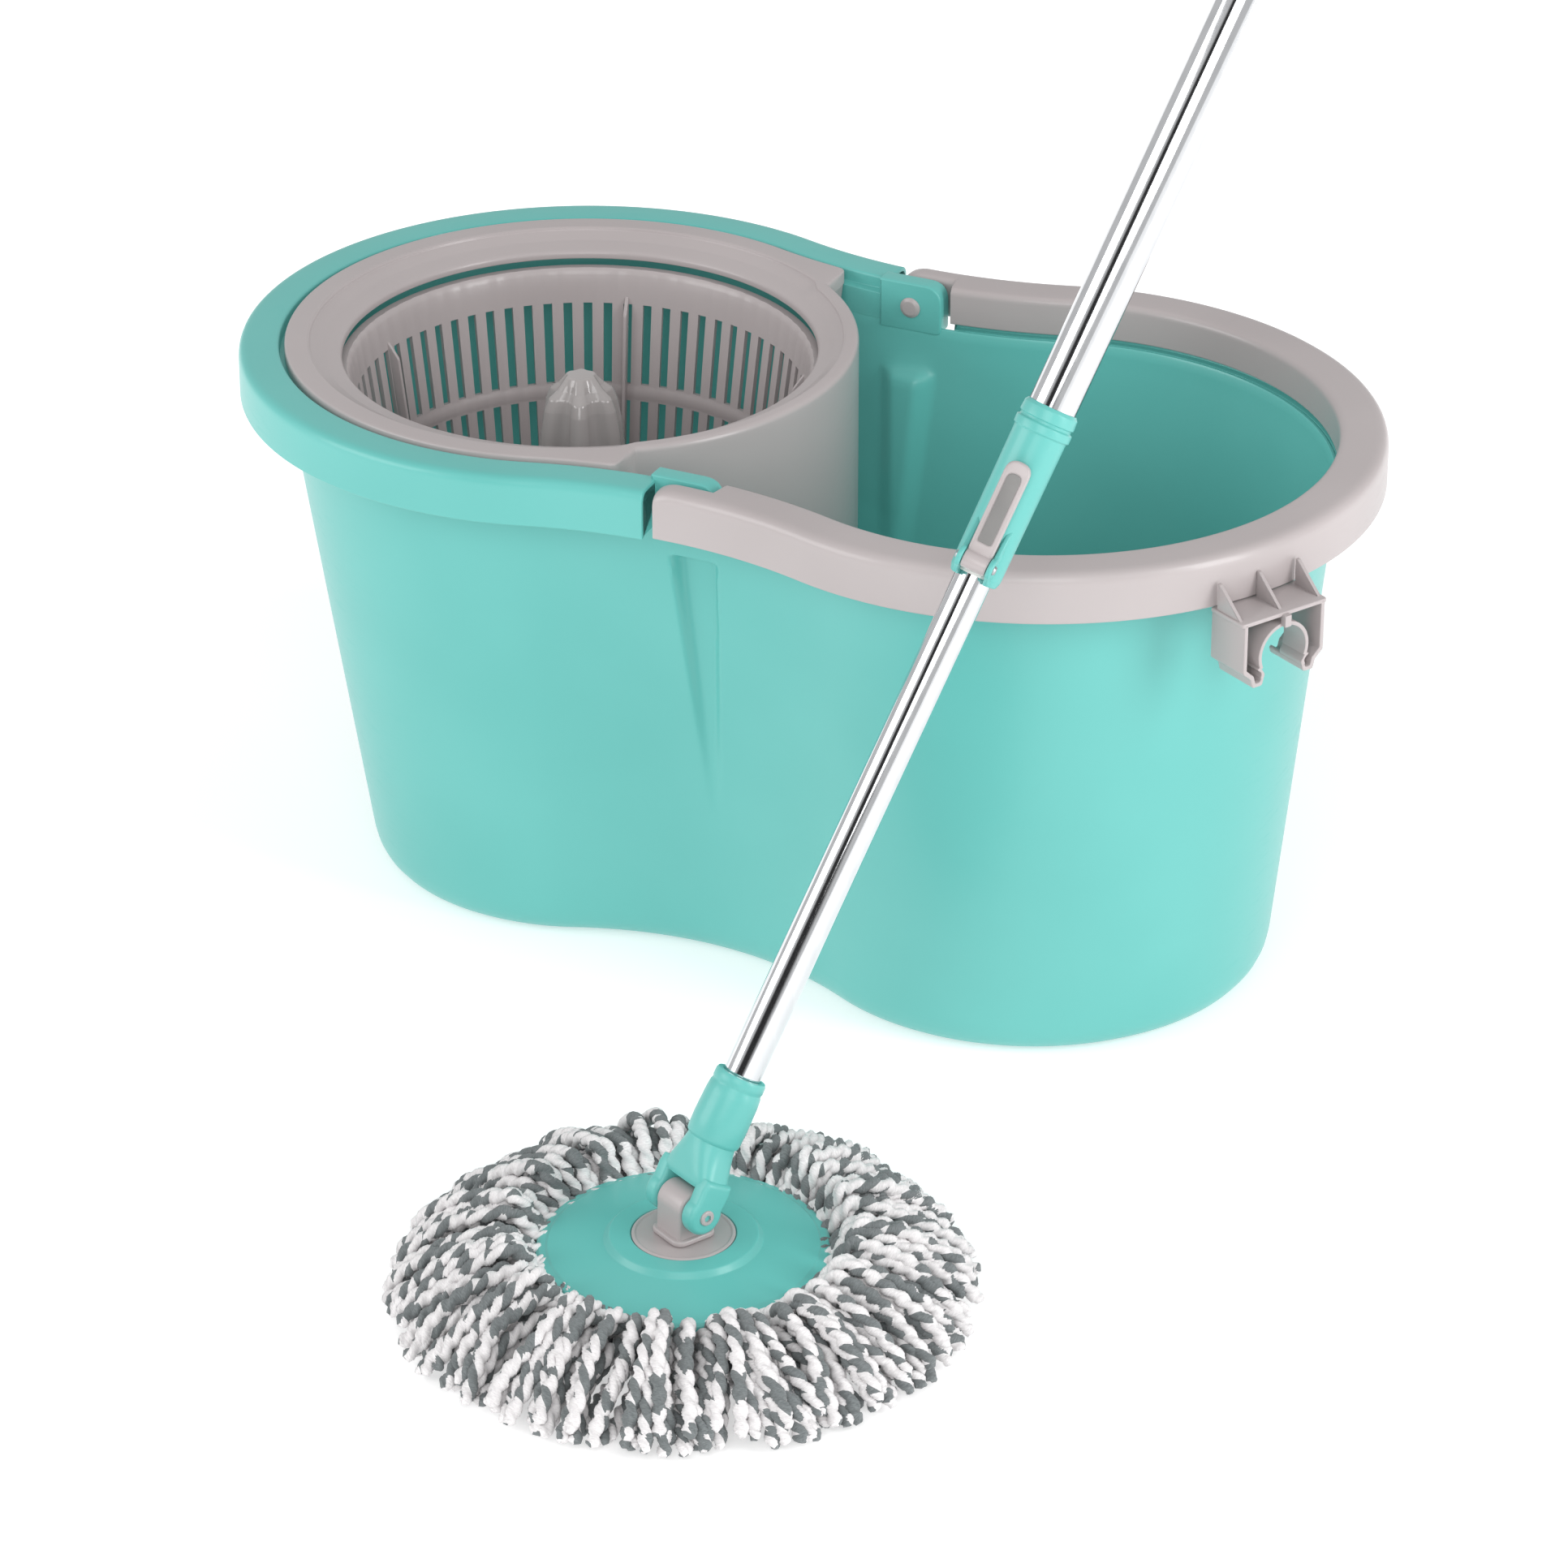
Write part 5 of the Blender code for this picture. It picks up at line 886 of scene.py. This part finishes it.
pole = {"lower": 8.1, "lowerStart": 32.0, "lowerEnd": 480.0, "upper": 10.3, "upperStart": 346.0, "upperEnd": 898.0,
        "wall": 0.8, "leverTurn": -142.0}


def tube(radius, start, end, wall):
    inner = radius - wall
    return turned(fillet([(radius, start, 0.3), (radius, end, 0.3), (inner, end, 0.3), (inner, start, 0.3)], 3), 64)


addPiece("lowerTube", tube(pole["lower"], pole["lowerStart"], pole["lowerEnd"], pole["wall"]), "chrome",
         "lower_pole", ["lower_tube"], tiltPlace)
addPiece("upperTube", tube(pole["upper"], pole["upperStart"], pole["upperEnd"], pole["wall"]), "chrome",
         "upper_pole", ["upper_tube"], tiltPlace)

collar = {"start": 287.0, "end": 365.0, "radius": 11.5, "bore": 8.5, "topBore": 10.5, "shelf": 345.9,
          "leverHeight": 295.0, "leverReach": 14.4}


def lockCollar():
    r, start, end = collar["radius"], collar["start"], collar["end"]
    bore, topBore, shelf = collar["bore"], collar["topBore"], collar["shelf"]
    outer = [(bore, start, 0.4), (r - 1.4, start, 0.9), (r - 0.4, start + 3, 2.0), (r, end - 12, 0.6),
             (r + 0.9, end - 11.4, 0.6), (r + 0.9, end - 8.0, 0.6), (r - 0.2, end - 7.4, 0.4),
             (r - 0.2, end - 6.2, 0.3), (r + 0.6, end - 5.8, 0.4), (r + 0.3, end - 1.4, 0.8),
             (r - 0.8, end, 0.9), (topBore, end, 0.3), (topBore, shelf, 0), (bore, shelf, 0)]
    return turned(fillet(outer, 4), 96)


def collarEars():
    reach, rise, half = collar["leverReach"], collar["leverHeight"], 5.8
    outline = ([(4.0, collar["start"] + 0.6), (reach - 2, collar["start"] + 0.6)]
               + arcPoints(reach, rise, 4.7, -78, 92, 20)
               + fillet([(reach - 1.4, rise + 6, 0), (9.6, rise + 15, 5), (4.0, rise + 23, 0)], 5, closed=False))
    return [prism(outline, half, half + 2.3, "Y", 0.7), prism(outline, -half - 2.3, -half, "Y", 0.7)]


lockPlace = tiltPlace @ Matrix.Rotation(math.radians(pole["leverTurn"]), 4, "Z")
leverPlace = lockPlace @ Matrix.Translation((collar["leverReach"], 0, collar["leverHeight"]))
lever = {"back": -2.4, "front": 1.7, "length": 45.0, "half": 5.5, "cam": 4.0}


def leverOutline(half, low, high, foot):  # seen from the front: a rounded far end and a squarer foot
    return fillet([(-half, low, foot), (half, low, foot), (half, high, half * 1.9), (-half, high, half * 1.9)], 10)


def lockLever():
    back, front, half = lever["back"], lever["front"], lever["half"]
    blade = prism(leverOutline(half, 1.0, lever["length"], 1.5), back, front, "X", 1.1, 4)
    for vert in blade.verts:  # the blade bows gently away from the collar
        vert.co.x += 0.9 * math.sin(math.pi * min(max(vert.co.z / lever["length"], 0), 1)) - 0.5
    cam = prism(arcPoints(0, 0, lever["cam"], 0, 345, 28), -half, half, "Y", 0.6)
    recess = prism(leverOutline(half * 0.62, 8.0, lever["length"] - 5.0, 1.2), front - 0.5, front + 5, "X", 0)
    return joined(cutAway(blade, recess), cam)


def leverInlay():
    face = lever["front"] + 0.1
    outline = leverOutline(lever["half"] * 0.62 - 0.35, 8.4, lever["length"] - 5.4, 1.0)
    return prism(outline, face - 0.8, face, "X", 0.25)


def leverRivet():
    half = 8.1
    profile = fillet([(0, -half - 1.1, 0), (1.5, -half - 1.0, 0.5), (2.3, -half, 0.6), (1.5, -half, 0), (1.5, half, 0),
                      (2.3, half, 0.6), (1.5, half + 1.0, 0.5), (0, half + 1.1, 0)], 4, closed=False)
    return shifted(turned(profile, 32), Matrix.Rotation(math.pi / 2, 4, "X"))


def lockPocket():
    half = 5.8
    return prism([(6.4, -half), (28, -half), (28, half), (6.4, half)], collar["start"] - 2,
                 collar["leverHeight"] + 10, "Z", 0)


addPiece("lockCollar", joined(cutAway(lockCollar(), lockPocket()), *collarEars()), "teal", "upper_pole",
         ["lock_collar"], lockPlace)
addPiece("lockLever", lockLever(), "grey", "lever", ["lock_lever"], leverPlace)
addPiece("leverInlay", leverInlay(), "dark", "lever", ["lever_inlay"], leverPlace)
addPiece("leverRivet", leverRivet(), "steel", "upper_pole", ["lever_pin"], leverPlace)

grip = {"radius": 13.0, "start": 772.0, "end": 905.0, "capLength": 32.0, "hole": 4.5, "ribs": 14}


def gripSleeve():
    r, start, end = grip["radius"], grip["start"], grip["end"]
    outer = [(10.4, start, 0.3), (r - 1.0, start, 1.0), (r, start + 4, 1.5)]
    pitch = (end - start - 42) / grip["ribs"]
    for i in range(grip["ribs"]):  # shallow finger grooves
        z = start + 20 + i * pitch
        outer += [(r, z, 0.5), (r - 0.8, z + 0.9, 0.6), (r - 0.8, z + 2.1, 0.6), (r, z + 3.0, 0.5)]
    outer += [(r, end - 5, 1.5), (r - 0.7, end, 0.8), (10.4, end, 0.3)]
    return turned(fillet(outer, 3), 96)


def hangingCap():
    r, low, high = grip["radius"], grip["end"] + 0.1, grip["end"] + grip["capLength"]
    profile = fillet([(0, low, 0), (r - 0.8, low, 0.5), (r - 0.8, low + 13, 5), (r - 2.6, high - 5, 5),
                      (r - 5.5, high, 3.6), (0, high, 0)], 7, closed=False)
    centre = high - 14
    flared = [(grip["hole"] + 3.4, -14.0), (grip["hole"] + 1.2, -9.6), (grip["hole"] + 0.2, -7.6),
              (grip["hole"], -5.5), (grip["hole"], 5.5), (grip["hole"] + 0.2, 7.6), (grip["hole"] + 1.2, 9.6),
              (grip["hole"] + 3.4, 14.0)]
    hole = shifted(turned([(0, -14.0)] + flared + [(0, 14.0)], 48),
                   Matrix.Translation((0, 0, centre)) @ Matrix.Rotation(math.pi / 2, 4, "X"))
    return cutAway(turned(profile, 96), hole)


addPiece("grip", gripSleeve(), "teal", "upper_pole", ["grip"], tiltPlace)
addPiece("hangingCap", hangingCap(), "grey", "upper_pole", ["hanging_cap"], tiltPlace)
print("pole made")


# ---- fringe: twisted two-ply strands hung from the disc's collar, tier by tier

fringe = {"strand": 2.35, "offset": 1.4, "twist": 15.0, "sides": 12, "step": 1.45, "tufts": 15}
tiers = [  # root radius and height, crest, end radius, end height, strands
    {"root": (63.0, 25.0), "crest": (75, 36.0), "end": (118, 126.5), "rest": 9, "count": 58},
    {"root": (62.0, 21.5), "crest": (78, 31.0), "end": (119, 127.5), "rest": 5, "count": 60},
    {"root": (59.0, 17.0), "crest": (78, 24.0), "end": (119, 127.5), "rest": 3.0, "count": 58},
    {"root": (52.0, 12.0), "crest": (76, 16.0), "end": (116, 127), "rest": 2.6, "count": 52},
    {"root": (45.0, 7.0), "crest": (70, 8.0), "end": (108, 124), "rest": 2.5, "count": 42}]


def strandRoute(tier, angle, tuft):  # root, crest, fall and tail
    rootR, rootZ = tier["root"]
    crestR, crestZ = tier["crest"]
    endR = random.uniform(*tier["end"])
    endZ = tier["rest"] + random.uniform(0, 1.6)
    crestZ += random.uniform(-1.6, 1.6) + 1.5 * tuft
    swing = random.uniform(-0.05, 0.05)
    endAngle = angle + swing + 0.05 * math.sin(fringe["tufts"] * angle)
    knee = crestR + (endR - crestR) * random.uniform(0.36, 0.5)
    kneeZ = endZ + (crestZ - endZ) * random.uniform(0.68, 0.86)
    controls = [(rootR - 7, rootZ - 1.0, angle), (rootR, rootZ, angle), (crestR - 3, crestZ - 0.5, angle),
                (crestR + 5, crestZ - 0.8, angle + swing * 0.2), (knee, kneeZ, angle + swing * 0.5),
                (knee + (endR - knee) * 0.62, endZ + (kneeZ - endZ) * 0.45, angle + (endAngle - angle) * 0.8),
                (endR - 3, endZ + 1.2, endAngle), (endR, endZ, endAngle + random.uniform(-0.015, 0.015))]
    return [Vector((r * math.cos(a), r * math.sin(a), max(z, 2.3))) for r, z, a in controls]


def curve(controls, step):  # Catmull-Rom through the controls, sampled evenly
    dense = []
    padded = [controls[0] * 2 - controls[1]] + controls + [controls[-1] * 2 - controls[-2]]
    for a, b, c, d in zip(padded, padded[1:], padded[2:], padded[3:]):
        for k in range(12):
            t = k / 12
            dense.append(0.5 * ((b * 2) + (c - a) * t + (a * 2 - b * 5 + c * 4 - d) * t * t
                                + (b * 3 - a - c * 3 + d) * t ** 3))
    dense.append(controls[-1])
    points, run, target = [dense[0]], 0.0, step
    for first, second in zip(dense, dense[1:]):
        length = (second - first).length
        while run + length >= target:
            points.append(first.lerp(second, (target - run) / length))
            target += step
        run += length
    return points


def plyTone(run, along):  # 0 where the ply is white, 1 where it is grey, with a short slope between
    before = 0.0 if run[0][1] else 1.0
    for (place, white), (_, following) in zip(run, run[1:]):
        if along > place - 1.0:
            share = min((along - place + 1.0) / 2.0, 1.0)
            first, second = (0.0 if white else 1.0), (0.0 if following else 1.0)
            before = first + (second - first) * share
    return before


def addStrand(store, route):
    points = curve(route, fringe["step"])
    sides, offset, strand = fringe["sides"], fringe["offset"], fringe["strand"]
    phase = random.uniform(0, math.pi)
    lean = random.uniform(-0.12, 0.12)
    start = len(store["verts"])
    along = 0.0
    length = len(points) * fringe["step"]
    marks = []  # each ply changes between white and grey along the strand
    for ply in range(2):
        place, white, run = random.uniform(-20, 0), random.random() < 0.6, []
        while place < length:
            place += random.uniform(9, 40) if white else random.uniform(7, 22)
            run.append((place, white))
            white = not white
        marks.append(run)
    last = len(points) - 1
    for i, point in enumerate(points):
        ahead = points[min(i + 1, last)] - points[max(i - 1, 0)]
        ahead.normalize()
        across = ahead.cross(Vector((0, 0, 1)))
        if across.length < 0.05:
            across = Vector((-point.y, point.x, 0))
        across.normalize()
        up = across.cross(ahead)
        toEnd = (last - i) * fringe["step"]
        size = 1.0 if toEnd > 3.2 else math.sqrt(max(0.04, 1 - (1 - toEnd / 3.2) ** 2))
        size *= 1 + 0.05 * noise.noise(point * 0.16)
        along = i * fringe["step"]
        turn = phase + 2 * math.pi * along / fringe["twist"] + lean * math.sin(along / 9)
        for k in range(sides):
            angle = 2 * math.pi * (k + 0.5) / sides
            reach = offset * abs(math.cos(angle)) + math.sqrt(strand ** 2 - (offset * math.sin(angle)) ** 2)
            reach *= size * 0.94
            spot = point + (across * math.cos(angle + turn) + up * math.sin(angle + turn)) * reach
            store["verts"].append((spot.x, spot.y, max(spot.z, 0.15)))
            store["yarn"].append((angle / (2 * math.pi), along * 0.05))
            side = abs(math.cos(angle))
            store["tone"].append((plyTone(marks[0 if math.cos(angle) > 0 else 1], along + 2.5 * side), side))
    for i in range(last):
        for k in range(sides):
            j = (k + 1) % sides
            a, b = start + i * sides, start + (i + 1) * sides
            store["faces"].append((a + k, a + j, b + j, b + k))
    store["faces"].append(tuple(start + k for k in reversed(range(sides))))
    store["faces"].append(tuple(start + last * sides + k for k in range(sides)))


def fringeQuarters():
    stores = [{"verts": [], "faces": [], "yarn": [], "tone": []} for _ in range(4)]
    for level, tier in enumerate(tiers):
        for i in range(tier["count"]):
            angle = 2 * math.pi * (i + 0.5 * (level % 2) + random.uniform(-0.28, 0.28)) / tier["count"]
            gather = 0.045 * math.sin(fringe["tufts"] * angle) if level < 2 else 0.02 * math.sin(11 * angle)
            tuft = math.cos(fringe["tufts"] * angle)
            addStrand(stores[int(angle % (2 * math.pi) / (math.pi / 2)) % 4],
                      strandRoute(tier, angle - gather, tuft))
    return stores


def addFringe(name, store):
    spot = Vector((head["x"], head["y"], 0))
    mesh = bpy.data.meshes.new(name)
    mesh.from_pydata([(Vector(v) + spot) * mm for v in store["verts"]], [], store["faces"])
    for key in ("yarn", "tone"):
        layer = mesh.uv_layers.new(name=key)
        for loop in mesh.loops:
            layer.data[loop.index].uv = store[key][loop.vertex_index]
    mesh.materials.append(finishes["yarn"])
    mesh.shade_smooth()
    obj = linked(name, mesh)
    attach(obj, "head")
    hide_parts("fringe")


for name, store in zip(("fringeEast", "fringeNorth", "fringeWest", "fringeSouth"), fringeQuarters()):
    addFringe(name, store)
    print(name, len(store["faces"]), "faces")


# ---- pieces carried over from the CAD keep their shape and get these finishes

carried = {"steel": ["spindle", "thrust_washer", "spindle_clip", "swivel_washer", "swivel_screw", "yoke_screw",
                     "spiral_bar"],
           "brass": ["lower_bush", "upper_bush"],
           "white": ["bush_spacer", "guide_bush", "clutch_housing", "brake_sleeve", "bar_anchor", "refill_ring"],
           "dark": ["drive_nut"]}
for finishName, names in carried.items():
    for nodeName in names:
        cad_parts[nodeName].material_slots[0].material = finishes[finishName]


# ---- floor, light and camera

def floorFinish():
    f = Finish("paperFloor")
    cloud = f.cloud(3, 2)
    paper = f.between(cloud, colour(222, 222, 222), colour(225, 225, 225))
    away = f.add("ShaderNodeVectorMath", {"operation": "LENGTH"}, {0: f.place()}, output=1)
    f.surface(Base_Color=paper, Emission_Color=f.steps(away, (0.4, 0.6), (0.95, 1)), Roughness=cloud * 0.05 + 0.9)
    f.shader.inputs["Emission Strength"].default_value = 0.7  # keeps the far sweep white
    return f.material


def stageSheet(name, corners, finish):
    mesh = bpy.data.meshes.new(name)
    mesh.from_pydata([Vector(corner) * mm for corner in corners], [], [(0, 1, 2, 3)])
    mesh.materials.append(finish)
    obj = linked(name, mesh)
    return obj


# the card fades out at both sides, so the painted dark reflection on the chrome has soft edges
def cardFinish():
    f = Finish("darkCard")
    across = f.add("ShaderNodeSeparateXYZ", None, {0: f.place()})
    f.surface(Base_Color=f.between(f.cloud(2), colour(24, 24, 25), colour(34, 34, 35)),
              Alpha=f.steps(across * 0.25 + 0.5, (0.1, 0), (0.3, 1), (0.72, 1), (0.98, 0)))
    f.shader.inputs["Roughness"].default_value = 0.8
    return f.material


stageSheet("floor", [(-9000, -9000, -0.5), (9000, -9000, -0.5), (9000, 9000, -0.5), (-9000, 9000, -0.5)],
           floorFinish())


def aimed(name, data, place, target):
    obj = linked(name, data)
    obj.location = Vector(place) * mm
    obj.rotation_euler = (Vector(target) - Vector(place)).to_track_quat("-Z", "Y").to_euler()
    return obj


def areaLight(name, place, size, power):
    data = bpy.data.lights.new(name, "AREA")
    data.shape, data.size, data.size_y = "RECTANGLE", size[0] * mm, size[1] * mm
    data.energy = power
    aimed(name, data, place, (0, -100, 150))


# a dark sheet behind the camera, seen only in reflections: it stands in for the dark room and paints a dark reflected
# streak down the chrome tubes
card = stageSheet("darkCard", [(-1600, -4200, -2500), (2000, -4200, -2500), (2000, -4200, 5200),
                               (-1600, -4200, 5200)], cardFinish())
card.visible_camera = card.visible_diffuse = card.visible_shadow = card.visible_transmission = False
areaLight("leftSoftbox", (-1500, -1500, 1000), (1500, 1100), 17)
areaLight("rightSoftbox", (1900, -300, 900), (600, 1500), 21)
areaLight("frontSoftbox", (900, -2300, 1500), (1500, 1500), 20)

world = bpy.data.worlds.new("studio")
world.use_nodes = True
world.node_tree.nodes["Background"].inputs["Color"].default_value = (1, 1, 1, 1)
world.node_tree.nodes["Background"].inputs["Strength"].default_value = 0.62
bpy.context.scene.world = world
bpy.context.scene.view_settings.view_transform = "Standard"
bpy.context.scene.view_settings.look = "None"

view = {"place": (1142.6, -2411.7, 1466.5), "target": (-52.2, 87.2, 0), "lens": 148.83}
camera = bpy.data.cameras.new("camera")
camera.lens, camera.sensor_width, camera.dof.use_dof = view["lens"], 36.0, False
bpy.context.scene.camera = aimed("camera", camera, view["place"], view["target"])
print("stage made")
